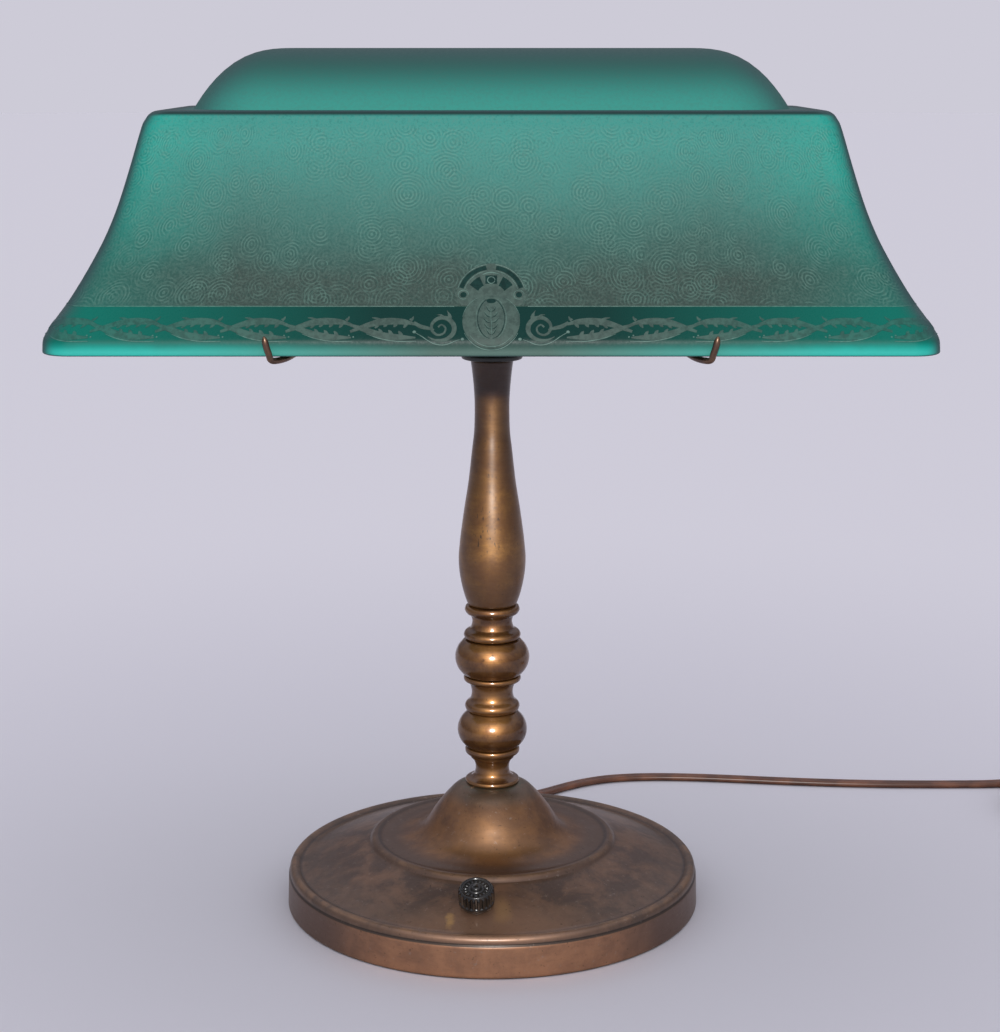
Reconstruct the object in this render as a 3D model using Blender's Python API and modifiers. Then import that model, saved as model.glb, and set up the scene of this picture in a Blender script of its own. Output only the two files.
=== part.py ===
"""Banker desk lamp: a turned brass column on a weighted base, two sockets, and a tilting glass shade.

Lengths in this script are millimetres and become metres as each mesh is made. The origin is on the
axis of the column, on the surface that the lamp stands on. +X runs along the shade, -Y is the front.
"""

import math

import bmesh
import bpy
from mathutils import Matrix, Vector

MM = 0.001
GAP = 0.3  # left between pieces that touch
MERGE = 0.00002

# Base
BASE_R = 85.8
SKIRT_WALL = 1.2
FELT_R = 82.2
FELT_TOP = 2.0
PLATE_OUT_R, PLATE_OUT_Z = 80.4, 15.7  # the sloping plate's rim
PLATE_IN_R, PLATE_IN_Z = 51.4, 25.8  # where it meets the raised step
BELL_TOP_R, BELL_TOP_Z = 11.5, 50.6

# Centre pipe
PIPE_R, PIPE_BORE_R = 4.85, 3.2
PIPE_LOW, PIPE_TOP = 4.2, 246.0
PIPE_CLEAR_R = PIPE_R + GAP

# Rotary switch, square to the sloping plate
SWITCH_R, SWITCH_TURN = 63.6, math.radians(-95.3)
KNOB_R, KNOB_RIBS = 7.05, 22
PLATE_TILT = math.atan2(PLATE_IN_Z - PLATE_OUT_Z, PLATE_OUT_R - PLATE_IN_R)
SWITCH_Z = PLATE_OUT_Z + (PLATE_OUT_R - SWITCH_R) * math.tan(PLATE_TILT)

# Lamp head
HEAD_Z = 264.0  # the axis of both sockets and of the shade's tilt
OUTLET_X = 18.0
SHELL_R = 16.5
RING_X, RING_WIDE, RING_R = 50.0, 9.0, 18.4

# Glass shade: half lengths and half depths of its rounded rectangles
GLASS = 3.2
SHADE_LOW, LIP_Z, SHOULDER_Z = 240.3, 241.2, 324.0
LOW_LONG, LOW_DEEP, LOW_CORNER = 164.2, 84.0, 11.0
TOP_LONG, TOP_DEEP, TOP_CORNER = 129.2, 50.0, 8.0
LEDGE_Z = 327.0
DOME_LONG, DOME_DEEP, DOME_CORNER, DOME_RISE = 114.9, 40.0, 30.0, 22.9
DOME_POWER = 2.8
CORNER_STEPS = 6

# Shade wires
WIRE_R = 1.2
HOOK_X, HOOK_TIP_X, HOOK_TIP_Z = 79.5, 81.6, 248.2

# Cord
CORD_WIDE, CORD_THICK = 5.4, 2.8
CORD_TURN = math.radians(82)  # where it leaves the skirt, from +X
CORD_OUT_Z = 6.5
BUSHING_OUT = 2.4  # how far its flange stands out from the skirt
COIL_X, COIL_Y, COIL_R = 282.0, 106.0, 29.7
COIL_COLUMNS, COIL_LAYERS, COIL_LIFT = 2, 4, 1.0
CORD_ROUTE = [
    (13.7, 96.9, 6.2), (15.5, 106.2, 5.1), (18.6, 115.4, 3.5), (22.6, 122.0, 2.2), (28.6, 128.6, 1.5),
    (35.8, 134.6, 1.45), (44.4, 140.4, 1.45), (55.0, 145.2, 1.45), (67.0, 147.8, 1.45), (82.0, 148.6, 1.45),
    (100.0, 147.6, 1.45), (120.0, 145.2, 1.45), (142.0, 142.2, 1.45), (166.0, 139.6, 1.45),
    (190.0, 138.0, 1.45), (214.0, 137.6, 1.45), (238.0, 137.9, 1.5), (254.0, 138.3, 1.9), (264.0, 138.4, 2.3),
]
TAIL_ROUTE = [(314.4, 88.2, 11.0), (314.5, 83.0, 10.6), (314.6, 78.0, 9.8), (314.6, 73.2, 9.4)]
PLUG_X, PLUG_Y, PLUG_Z = 314.6, 72.9, 9.4

FINISHES = {
    "brass": ((0.30, 0.19, 0.09), 0.35, 1.0),
    "spun_brass": ((0.27, 0.18, 0.10), 0.42, 1.0),
    "steel": ((0.45, 0.45, 0.44), 0.4, 1.0),
    "iron": ((0.10, 0.10, 0.10), 0.8, 0.6),
    "felt": ((0.05, 0.12, 0.07), 0.95, 0.0),
    "bakelite": ((0.015, 0.014, 0.013), 0.18, 0.0),
    "porcelain": ((0.80, 0.78, 0.72), 0.25, 0.0),
    "fibre": ((0.10, 0.06, 0.04), 0.7, 0.0),
    "bulb": ((0.90, 0.90, 0.86), 0.3, 0.0),
    "green_glass": ((0.02, 0.33, 0.24), 0.4, 0.0),
    "rubber": ((0.12, 0.05, 0.03), 0.5, 0.0),
}


# ---------------------------------------------------------------- scene and materials


def clear_scene():
    for thing in list(bpy.data.objects):
        bpy.data.objects.remove(thing, do_unlink=True)


def new_collection(name):
    group = bpy.data.collections.new(name)
    bpy.context.scene.collection.children.link(group)
    return group


def finish_material(name):
    """The material of one finish, made the first time that it is asked for."""
    made = bpy.data.materials.get(name)
    if made:
        return made
    colour, rough, metal = FINISHES[name]
    made = bpy.data.materials.new(name)
    made.use_nodes = True
    shader = made.node_tree.nodes["Principled BSDF"]
    shader.inputs["Base Color"].default_value = (*colour, 1)
    shader.inputs["Roughness"].default_value = rough
    shader.inputs["Metallic"].default_value = metal
    return made


def add_object(name, data, finish, parent=None, place=None):
    """Puts data in the lamp's collection with its finish, placed by a matrix in metres."""
    thing = bpy.data.objects.new(name, data)
    LAMP.objects.link(thing)
    if finish:
        data.materials.append(finish_material(finish))
    if place is not None:
        thing.matrix_world = place
    if parent:
        thing.parent = parent
        thing.matrix_parent_inverse = parent.matrix_world.inverted()
    return thing


def hide_as_cutter(thing):
    LAMP.objects.unlink(thing)
    CUTTERS.objects.link(thing)
    thing.hide_render = True
    thing.display_type = "WIRE"
    return thing


def frame_at(x, y, z, axis):
    """A matrix whose Z runs along axis, with its origin at (x, y, z) in millimetres."""
    turn = Vector((0, 0, 1)).rotation_difference(Vector(axis)).to_matrix().to_4x4()
    return Matrix.Translation(Vector((x, y, z)) * MM) @ turn


# ---------------------------------------------------------------- shapes


def turned(name, outline, finish, steps=18, parent=None, place=None, closed=True):
    """A turned piece. outline holds (radius, height) down the outer side, then up the bore if it has one.

    An outline that starts and ends on the axis isn't closed: the spin closes it.
    """
    mesh = bpy.data.meshes.new(name)
    points = [(r * MM, 0.0, z * MM) for r, z in outline]
    edges = [(i, i + 1) for i in range(len(points) - 1)]
    if closed:
        edges.append((len(points) - 1, 0))
    mesh.from_pydata(points, edges, [])
    thing = add_object(name, mesh, finish, parent, place)
    spin = thing.modifiers.new("Spin", "SCREW")
    spin.steps = spin.render_steps = steps
    spin.use_merge_vertices = True
    spin.merge_threshold = MERGE
    spin.use_smooth_shade = True
    return thing


def loft(name, rings, finish, parent=None, place=None):
    """A skin over rings that have the same number of points, capped at both ends."""
    count = len(rings[0])
    mesh = bpy.data.meshes.new(name)
    points = [tuple(c * MM for c in p) for ring in rings for p in ring]
    faces = []
    for low in range(0, (len(rings) - 1) * count, count):
        high = low + count
        for i in range(count):
            j = (i + 1) % count
            faces.append((low + i, low + j, high + j, high + i))
    faces.append(tuple(range(count))[::-1])
    faces.append(tuple(range((len(rings) - 1) * count, len(rings) * count)))
    mesh.from_pydata(points, [], faces)
    mesh.shade_smooth()
    mesh.set_sharp_from_angle(angle=math.radians(40))
    return add_object(name, mesh, finish, parent, place)


def smooth_line(points, spacing):
    """Points about spacing apart on the smooth curve through the given points."""
    knots = [Vector(p) for p in points]
    knots = [2 * knots[0] - knots[1]] + knots + [2 * knots[-1] - knots[-2]]
    line = []
    for a, b, c, d in zip(knots, knots[1:], knots[2:], knots[3:]):
        square, cube = 2 * a - 5 * b + 4 * c - d, 3 * b - a - 3 * c + d
        steps = max(1, round((c - b).length / spacing))
        for t in (i / steps for i in range(steps)):
            line.append(b + 0.5 * ((c - a) * t + square * t**2 + cube * t**3))
    return line + [knots[-2]]


def tube(name, line, radius, finish, parent=None):
    """A round wire or cord along a line of points, with filled ends."""
    curve = bpy.data.curves.new(name, "CURVE")
    curve.dimensions = "3D"
    spline = curve.splines.new("POLY")
    spline.points.add(len(line) - 1)
    for point, place in zip(spline.points, line):
        point.co = (*(c * MM for c in place), 1)
    curve.bevel_depth = radius * MM
    curve.bevel_resolution = 2
    curve.use_fill_caps = True
    return add_object(name, curve, finish, parent)


def prism(name, sides, radius, low, high, finish, place=None, bore=0.0):
    """A nut or a disc: a regular prism along Z, with a bore if it has one."""
    mesh = bpy.data.meshes.new(name)
    body = bmesh.new()
    bmesh.ops.create_cone(
        body,
        cap_ends=True,
        segments=sides,
        radius1=radius * MM,
        radius2=radius * MM,
        depth=(high - low) * MM,
        matrix=Matrix.Translation((0, 0, (low + high) / 2 * MM)),
    )
    body.to_mesh(mesh)
    body.free()
    thing = add_object(name, mesh, finish, place=place)
    if bore:
        hole = prism(name + "_bore", 20, bore, low - 1, high + 1, None, place=place)
        cut(thing, hole)
    return thing


def block(name, low, high, finish):
    """A box between two corners."""
    mesh = bpy.data.meshes.new(name)
    body = bmesh.new()
    size = [b - a for a, b in zip(low, high)]
    middle = [(a + b) / 2 * MM for a, b in zip(low, high)]
    bmesh.ops.create_cube(
        body, size=1, matrix=Matrix.Translation(middle) @ Matrix.Diagonal((*(s * MM for s in size), 1))
    )
    body.to_mesh(mesh)
    body.free()
    return add_object(name, mesh, finish)


def combine(thing, other, operation):
    step = thing.modifiers.new(operation.title(), "BOOLEAN")
    step.operation = operation
    step.solver = "EXACT"
    step.object = hide_as_cutter(other)
    return thing


def cut(thing, cutter):
    return combine(thing, cutter, "DIFFERENCE")


def join(thing, other):
    return combine(thing, other, "UNION")


def bored(outline, bore):
    """Closes a turned outline with a straight bore: (radius, height) points down the outer side are given."""
    return outline + [(bore, outline[-1][1]), (bore, outline[0][1])]


# ---------------------------------------------------------------- base


def base_outline():
    """Down the outside of the base shell, from the pipe hole to the foot of the skirt."""
    bell = [(BELL_TOP_R, BELL_TOP_Z), (14.9, 49.2), (18.9, 45.4), (22.0, 41.6), (24.2, 38.6), (26.4, 35.2)]
    ledge = [(28.6, 32.2), (31.4, 29.8), (35.4, 28.2), (40.0, 27.5), (46.6, 27.5)]
    step = [(48.0, 28.1), (49.4, 28.0), (50.4, 27.2), (PLATE_IN_R, PLATE_IN_Z)]
    bead = [(PLATE_OUT_R, PLATE_OUT_Z), (81.2, 16.4), (82.4, 17.0), (83.6, 16.8), (84.6, 15.8), (84.9, 14.6)]
    skirt = [(84.7, 13.5), (85.4, 12.9), (BASE_R - 0.2, 6.0), (BASE_R, 0.4)]
    return [(PIPE_CLEAR_R, BELL_TOP_Z)] + bell + ledge + step + bead + skirt


def make_base():
    inside = [(BASE_R - SKIRT_WALL, 0.4), (84.2, 12.4), (82.4, 15.0), (80.2, 14.4), (50.6, 24.6)]
    inside += [(47.0, 26.2), (34.8, 26.9), (30.2, 28.7), (24.9, 35.0), (20.9, 40.8), (14.2, 48.0)]
    inside.append((PIPE_CLEAR_R, 49.4))
    shell = turned("base_shell", base_outline() + inside, "spun_brass", 44)
    out = (math.cos(CORD_TURN), math.sin(CORD_TURN), 0)
    cut(shell, prism("cord_hole", 20, 4.3, 70, 100, None, place=frame_at(0, 0, CORD_OUT_Z, out)))
    cut(shell, prism("switch_hole", 20, 5.1, -5, 5, None, place=switch_frame()))

    iron = [(18.0, 30.0), (20.0, 24.2), (47.0, 23.4), (79.2, 12.4), (80.4, 9.0), (80.4, FELT_TOP + GAP)]
    weight = turned("base_weight", bored(iron, PIPE_CLEAR_R + GAP), "iron", 26)
    cut(weight, prism("nut_room", 24, 18.0, 0, 12.0, None))
    cut(weight, prism("switch_room", 24, 15.5, -30, 10, None, place=switch_frame()))
    channel = block("lead_room", (-7, -58, 0), (7, 90, 10.4), None)
    channel.rotation_euler = (0, 0, CORD_TURN - math.pi / 2)
    cut(weight, channel)
    felt = [(0, FELT_TOP), (FELT_R, FELT_TOP), (FELT_R, 0.0), (0, 0.0)]
    turned("base_felt", felt, "felt", 36, closed=False)


def make_pipe():
    outline = [(PIPE_R, PIPE_TOP), (PIPE_R, PIPE_LOW)]
    turned("center_pipe", bored(outline, PIPE_BORE_R), "steel", 20)
    prism("pipe_washer", 18, 14.0, 10.0, 11.7, "steel", bore=PIPE_CLEAR_R)
    prism("pipe_nut", 6, 9.6, 6.2, 9.7, "steel", bore=PIPE_CLEAR_R)


# ---------------------------------------------------------------- column


def bead(low, high, centre, radius, rise, points=6):
    """(radius, height) down the outside of a bead: an ellipse cut off at low and high."""
    heights = [high + (low - high) * i / (points - 1) for i in range(points)]
    return [(radius * math.sqrt(1 - ((z - centre) / rise) ** 2), z) for z in heights]


def make_column():
    """The turned brass pieces, threaded on the pipe from the bell of the base to the lamp head."""
    foot = [(11.1, 66.0), (11.3, 64.8), (11.0, 63.6), (9.4, 63.2), (9.2, 61.9), (7.8, 60.4), (6.95, 57.6)]
    foot += [(7.3, 54.6), (9.0, 53.0), (10.9, 52.6), (11.2, 51.8), (11.0, BELL_TOP_Z + GAP)]
    turned("stem_foot", bored(foot, PIPE_CLEAR_R), "brass")
    turned("lower_bead", bored(bead(66.3, 81.7, 73.7, 14.4, 11.0), PIPE_CLEAR_R), "brass")

    neck = [(9.6, 97.0), (11.6, 96.7), (11.9, 95.8), (11.6, 94.8), (9.8, 94.2), (8.9, 92.2), (8.5, 89.6)]
    neck += [(9.3, 86.6), (11.0, 85.0), (11.4, 83.8), (10.8, 82.0)]
    turned("middle_neck", bored(neck, PIPE_CLEAR_R), "brass")
    turned("upper_bead", bored(bead(97.3, 112.2, 104.7, 15.3, 11.5), PIPE_CLEAR_R), "brass")

    collar = [(8.4, 126.9), (10.8, 126.5), (11.4, 124.9), (10.6, 123.4), (8.8, 122.6), (8.2, 120.0)]
    collar += [(8.9, 117.0), (11.2, 115.6), (11.8, 114.4), (11.3, 112.9), (10.0, 112.5)]
    turned("upper_neck", bored(collar, PIPE_CLEAR_R), "brass")

    vase = [(8.6, 228.0), (8.2, 225.0), (7.6, 219.6), (7.05, 211.5), (7.05, 205.0), (7.3, 198.4)]
    vase += [(8.05, 191.9), (9.55, 178.7), (11.6, 165.4), (13.25, 152.5), (13.69, 147.0), (13.5, 142.0)]
    vase += [(12.7, 136.6), (11.2, 130.6), (10.0, 127.2)]
    turned("vase_column", bored(vase, PIPE_CLEAR_R), "brass")
    ring = [(11.6, 231.0), (12.3, 230.4), (12.3, 228.9), (11.8, 228.3)]
    turned("check_ring", bored(ring, PIPE_CLEAR_R), "brass")


# ---------------------------------------------------------------- lamp head


def make_head():
    stem = [(0, HEAD_Z + 14.0), (7.0, HEAD_Z + 14.0), (11.0, HEAD_Z + 11.6), (14.6, HEAD_Z + 7.0)]
    stem += [(16.0, HEAD_Z), (14.6, HEAD_Z - 7.0), (11.0, HEAD_Z - 11.6), (8.6, HEAD_Z - 14.6)]
    stem += [(8.0, HEAD_Z - 22.0), (9.4, HEAD_Z - 29.0), (10.4, 231.3), (0, 231.3)]
    hub = turned("head_hub", stem, "brass", closed=False)
    arm = [(0, OUTLET_X), (8.4, OUTLET_X), (9.0, OUTLET_X - 1.0), (9.0, 1 - OUTLET_X), (8.4, -OUTLET_X)]
    arm.append((0, -OUTLET_X))
    sideways = frame_at(0, 0, HEAD_Z, (1, 0, 0))
    join(hub, turned("outlet_arm", arm, None, place=sideways, closed=False))
    cut(hub, prism("pipe_room", 20, PIPE_CLEAR_R, 230, PIPE_TOP + 1, None))
    cut(hub, prism("lead_way", 16, 3.0, 240, HEAD_Z + 20, None))
    cut(hub, prism("cross_way", 14, 2.6, -30, 30, None, place=sideways))
    for side in (-1, 1):
        room = frame_at(side * (OUTLET_X - 4), 0, HEAD_Z, (1, 0, 0))
        cut(hub, prism("nipple_room_" + side_name(side), 20, PIPE_CLEAR_R, -4.5, 4.5, None, place=room))

    knob = [(0, 14.0), (2.2, 13.6), (3.6, 12.0), (4.0, 10.0), (3.2, 8.0), (2.2, 6.6), (3.0, 5.0), (6.4, 3.4)]
    knob += [(7.0, 1.8), (7.0, 0.3), (2.7, 0.3), (2.6, -6.0), (0, -6.0)]
    finial = turned("head_finial", knob, "brass", closed=False, steps=16)
    finial.location = (0, 0, (HEAD_Z + 14.0) * MM)


def side_name(side):
    return "left" if side < 0 else "right"


def make_socket(side):
    """One socket with its bulb. Outlines are (radius, distance out along X), from the open end inwards."""
    name = side_name(side)
    place = frame_at(0, 0, HEAD_Z, (side, 0, 0))

    def piece(kind, outline, finish, steps=16, closed=True):
        return turned(f"{name}_{kind}", outline, finish, steps, place=place, closed=closed)

    piece("nipple", bored([(PIPE_R, 27.0), (PIPE_R, 10.2)], PIPE_BORE_R), "steel")
    cap = [(17.4, 38.0), (17.8, 36.6), (17.6, 33.0), (15.6, 28.6), (11.6, 25.2), (9.6, 22.8)]
    cap += [(9.2, 18.3), (PIPE_CLEAR_R, 18.3), (PIPE_CLEAR_R, 26.4), (10.4, 26.4), (14.4, 29.6)]
    cap += [(16.8, 33.6), (16.8, 38.0)]
    piece("socket_cap", cap, "brass")
    shell = [(16.9, 70.6), (17.1, 69.9), (SHELL_R, 69.0), (SHELL_R, 33.8), (15.8, 33.8), (15.8, 70.6)]
    piece("socket_shell", shell, "brass")
    piece("socket_liner", [(15.5, 68.0), (15.5, 33.0), (14.9, 33.0), (14.9, 68.0)], "fibre")
    core = [(0, 43.6), (14.0, 43.6), (14.6, 43.0), (14.6, 35.6), (12.0, 32.4), (6.0, 32.4), (3.2, 30.6)]
    core.append((0, 30.6))
    piece("socket_core", core, "porcelain", closed=False)
    screw = [(14.3, 67.0), (13.9, 66.0), (13.9, 43.9), (13.4, 43.9), (13.4, 67.0)]
    piece("screw_shell", screw, "brass")
    base = [(0, 67.0), (13.0, 67.0), (13.1, 50.0), (11.0, 46.6), (5.0, 45.4), (4.6, 44.2), (0, 44.2)]
    piece("bulb_base", base, "brass", closed=False)
    glass = [(0, 122.0), (8.0, 120.8), (15.4, 116.4), (20.6, 109.0), (22.5, 99.5), (20.8, 89.6), (16.8, 80.6)]
    glass += [(13.9, 73.4), (13.0, 67.3), (0, 67.3)]
    piece("bulb_glass", glass, "bulb", 20, closed=False)


# ---------------------------------------------------------------- shade holder


def make_ring(side, tilt):
    """A split collar on the socket shell, its lug below it gripping the shade wire."""
    name = side_name(side)
    place = frame_at(side * RING_X, 0, HEAD_Z, (1, 0, 0))
    half = RING_WIDE / 2
    collar = [(RING_R, half), (RING_R, -half), (SHELL_R + GAP, -half), (SHELL_R + GAP, half)]
    ring = turned(f"{name}_shade_ring", collar, "brass", 22, tilt, place)
    top, low = HEAD_Z - SHELL_R - 0.8, wire_height() - 2.6
    x = side * RING_X
    join(ring, block(f"{name}_lug", (x - half + 0.4, -4, low), (x + half - 0.4, 4, top), None))
    bore = frame_at(x, 0, wire_height(), (0, 1, 0))
    cut(ring, prism(f"{name}_wire_way", 12, WIRE_R + GAP, -10, 10, None, place=bore))
    screw = [(0, 7.6), (2.2, 7.6), (2.8, 6.9), (2.8, half + GAP), (0, half + GAP)]
    spot = frame_at(x, 0, wire_height(), (side, 0, 0))
    turned(f"{name}_ring_screw", screw, "brass", 14, tilt, spot, closed=False)


def wire_height():
    """The height of the shade wire's axis under the sockets."""
    return HEAD_Z - RING_R - WIRE_R - 1.0


def hook_points(side):
    """From the middle of a shade wire to the tip of its hook at the front edge of the glass."""
    z, under, face = wire_height(), SHADE_LOW - WIRE_R - GAP, -(LOW_DEEP + WIRE_R + GAP)
    x = side * RING_X
    run = [(x, -6.0, z), (side * 53.0, -13.0, z), (side * 60.0, -33.0, z - 0.4)]
    run += [(side * 68.0, -57.0, z - 2.0), (side * 74.0, -74.0, under + 0.2), (side * 77.6, face + 3.0, under)]
    run += [(side * HOOK_X, face + 0.3, under + 0.7), (side * (HOOK_X + 0.6), face - 0.6, under + 3.0)]
    return run + [(side * (HOOK_X + 1.4), face - 1.2, 244.6), (side * HOOK_TIP_X, face - 1.8, HOOK_TIP_Z)]


def make_wire(side, tilt):
    front = hook_points(side)
    back = [(x, -y, z) for x, y, z in front]
    tube(f"{side_name(side)}_shade_wire", back[::-1] + front, WIRE_R, "brass", tilt)


def flare(z):
    """0 at the shoulder and 1 at the lip: how far the walls have spread at height z."""
    knots = [(SHOULDER_Z, 0.0), (318.0, 0.052), (307.0, 0.142), (294.0, 0.256), (287.0, 0.328), (280.0, 0.413)]
    knots += [(272.4, 0.523), (265.0, 0.64), (258.3, 0.757), (253.3, 0.858), (249.2, 0.938), (245.0, 0.992)]
    knots.append((LIP_Z, 1.0))
    for (high, a), (low, b) in zip(knots, knots[1:]):
        if z >= low:
            return a + (b - a) * (high - z) / (high - low)
    return 1.0


def rounded(long, deep, corner, z):
    """A rounded rectangle of half sides long and deep, counterclockwise from its right front corner."""
    corner = max(corner, 0.4)
    points = []
    for k, (sx, sy) in enumerate([(1, -1), (1, 1), (-1, 1), (-1, -1)]):
        for i in range(CORNER_STEPS + 1):
            turn = math.pi / 2 * (k - 1 + i / CORNER_STEPS)
            x = sx * (long - corner) + corner * math.cos(turn)
            points.append((x, sy * (deep - corner) + corner * math.sin(turn), z))
    return points


def wall_ring(z, inset):
    s = flare(z)
    return rounded(
        TOP_LONG + (LOW_LONG - TOP_LONG) * s - inset,
        TOP_DEEP + (LOW_DEEP - TOP_DEEP) * s - inset,
        TOP_CORNER + (LOW_CORNER - TOP_CORNER) * s - inset,
        z,
    )


def dome_ring(share, inset, base_z):
    """A ring of the dome, moved in by share of its half depth; share runs from 0 to nearly 1."""
    deep = DOME_DEEP - inset
    d = share * deep
    z = base_z + DOME_RISE * (1 - (1 - share) ** DOME_POWER)
    return rounded(DOME_LONG - inset - d, deep - d, DOME_CORNER - inset - d, z)


def make_shade(tilt):
    """One shell of glass: rings from the ridge down the inside, round the lip and up the outside."""
    inside = [dome_ring(share, GLASS, LEDGE_Z - GLASS) for share in (0.96, 0.6, 0.3, 0.1, 0.0)]
    inside.append(rounded(TOP_LONG - 5.0, TOP_DEEP - 5.0, TOP_CORNER - 3.0, LEDGE_Z - GLASS))
    inside += [wall_ring(z, GLASS) for z in (320.0, 300.0, 283.0, 270.0, 258.3, 251.0, 246.0, 242.0)]
    lip = [lowered(wall_ring(LIP_Z, GLASS - 0.8), SHADE_LOW), lowered(wall_ring(LIP_Z, 0.8), SHADE_LOW)]
    heights = (LIP_Z, 245.0, 249.2, 253.3, 258.3, 265.0, 272.4, 280.0, 294.0, 307.0, 318.0)
    outside = [wall_ring(z, 0) for z in heights]
    outside += [wall_ring(SHOULDER_Z, 0.3), lowered(wall_ring(SHOULDER_Z, 1.6), LEDGE_Z - 0.6)]
    outside.append(rounded(TOP_LONG - 4.0, TOP_DEEP - 4.0, TOP_CORNER - 2.0, LEDGE_Z))
    outside += [dome_ring(share, 0, LEDGE_Z) for share in (0.0, 0.1, 0.25, 0.45, 0.7, 0.96)]
    loft("glass_shade", inside + lip + outside, "green_glass", tilt)


def lowered(ring, z):
    return [(x, y, z) for x, y, _ in ring]


# ---------------------------------------------------------------- switch


def switch_frame():
    """Origin on the sloping plate at the switch, Z square to the plate."""
    x, y = SWITCH_R * math.cos(SWITCH_TURN), SWITCH_R * math.sin(SWITCH_TURN)
    lean = math.sin(PLATE_TILT)
    axis = (lean * math.cos(SWITCH_TURN), lean * math.sin(SWITCH_TURN), math.cos(PLATE_TILT))
    return frame_at(x, y, SWITCH_Z, axis)


def knob_ring(radius, z, ribbed):
    """A ring of the knob, its ribs standing proud of the grooves between them."""
    count = KNOB_RIBS * 2
    ring = []
    for i in range(count):
        r = radius - (0.55 if ribbed and i % 2 else 0.0)
        ring.append((r * math.cos(math.tau * i / count), r * math.sin(math.tau * i / count), z))
    return ring


def make_switch(turning):
    place = switch_frame()
    bush = [(4.8, 1.3), (4.8, -2.2), (6.2, -2.2), (6.2, -3.0)]
    turned("switch_bushing", bored(bush, 1.9), "brass", 16, place=place)
    prism("switch_nut", 6, 6.6, GAP, 1.2, "brass", place=place, bore=4.8 + GAP)
    housing = [(11.2, -3.3), (12.0, -4.0), (12.0, -12.0), (10.9, -12.0), (10.9, -4.6), (1.9, -4.6)]
    housing.append((1.9, -3.3))
    turned("switch_housing", housing, "bakelite", 18, place=place)
    base = [(0, -11.0), (10.6, -11.0), (10.6, -13.0), (0, -13.0)]
    turned("switch_base", base, "fibre", 18, place=place, closed=False)

    rotor = [(5.6, -5.4), (6.4, -6.0), (6.4, -9.2), (5.6, -9.8)]
    turned("switch_rotor", bored(rotor, 1.9), "bakelite", 18, turning, place)
    shaft = [(0, 7.4), (1.2, 7.4), (1.6, 7.0), (1.6, -10.4), (0, -10.4)]
    turned("switch_shaft", shaft, "steel", 12, turning, place, closed=False)
    rings = [knob_ring(r, z, False) for r, z in ((6.4, 1.6), (7.0, 1.9), (7.0, 3.0))]
    rings += [knob_ring(KNOB_R, z, True) for z in (3.3, 7.6)]
    rings += [knob_ring(r, z, False) for r, z in ((6.6, 8.5), (5.6, 9.2), (3.0, 9.7))]
    knob = loft("switch_knob", rings, "bakelite", turning, place)
    cut(knob, prism("shaft_room", 12, 1.9, 0, 7.8, None, place=place))


# ---------------------------------------------------------------- cord, plug and leads


def skirt_point(radius, z=CORD_OUT_Z):
    """A point at the cord's exit direction, at a distance from the column's axis."""
    return (radius * math.cos(CORD_TURN), radius * math.sin(CORD_TURN), z)


def coil_outline():
    half = COIL_COLUMNS * CORD_WIDE / 2 + 0.2
    low, high = COIL_LIFT, COIL_LIFT + COIL_LAYERS * CORD_THICK + 0.2
    outer, inner = COIL_R + half, COIL_R - half
    outline = [(outer - 1, high), (outer, high - 1), (outer, low + 1), (outer - 1, low)]
    return outline + [(inner + 1, low), (inner, low + 1), (inner, high - 1), (inner + 1, high)]


def make_cord():
    out = (math.cos(CORD_TURN), math.sin(CORD_TURN), 0)
    face = BASE_R + BUSHING_OUT
    bushing = [(0, face), (4.4, face), (5.4, face - 0.6), (5.8, BASE_R + 0.4), (4.0, BASE_R + 0.4)]
    bushing += [(4.0, BASE_R - 2.1), (5.2, BASE_R - 2.1), (5.2, BASE_R - 3.0), (0, BASE_R - 3.0)]
    turned("cord_bushing", bushing, "rubber", 16, place=frame_at(0, 0, CORD_OUT_Z, out), closed=False)
    line = smooth_line([skirt_point(face + GAP)] + CORD_ROUTE, 7.0)
    tube("power_cord", line, CORD_THICK / 2, "rubber")

    coil = turned("cord_coil", coil_outline(), "rubber", 24)
    coil.location = (COIL_X * MM, COIL_Y * MM, 0)
    make_tie()
    tube("plug_tail", smooth_line(TAIL_ROUTE, 4.0), CORD_THICK / 2, "rubber")
    make_plug()


def make_tie():
    """A band round the coil's bundle, at its left-hand side."""
    half = COIL_COLUMNS * CORD_WIDE / 2 + 0.2
    x, low, high = COIL_X - COIL_R, COIL_LIFT, COIL_LIFT + COIL_LAYERS * CORD_THICK + 0.2
    band, width = 0.6, 3.5
    clear = GAP + 0.5  # the ring's curve stands out by this within the band's width
    left, right, under, over = x - half - clear, x + half + clear, low - GAP, high + GAP
    corner_a = (left - band, COIL_Y - width, under - band)
    corner_b = (right + band, COIL_Y + width, over + band)
    tie = block("cord_tie", corner_a, corner_b, "fibre")
    cut(tie, block("tie_room", (left, COIL_Y - 9, under), (right, COIL_Y + 9, over), None))


def make_plug():
    place = frame_at(PLUG_X, PLUG_Y, PLUG_Z, (0, -1, 0))
    body = [(0, 27.0), (8.0, 27.0), (9.0, 26.2), (9.0, 16.0), (7.6, 13.0), (7.2, 9.0), (8.0, 6.0), (6.4, 2.4)]
    body += [(3.2, GAP), (0, GAP)]
    turned("plug_body", body, "bakelite", 16, place=place, closed=False)
    front = PLUG_Y - 27.0 - GAP
    for side in (-1, 1):
        x = PLUG_X + side * 6.35
        low, high = (x - 0.75, front - 16.5, PLUG_Z - 3.1), (x + 0.75, front, PLUG_Z + 3.1)
        block(f"plug_blade_{side_name(side)}", low, high, "steel")


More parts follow.
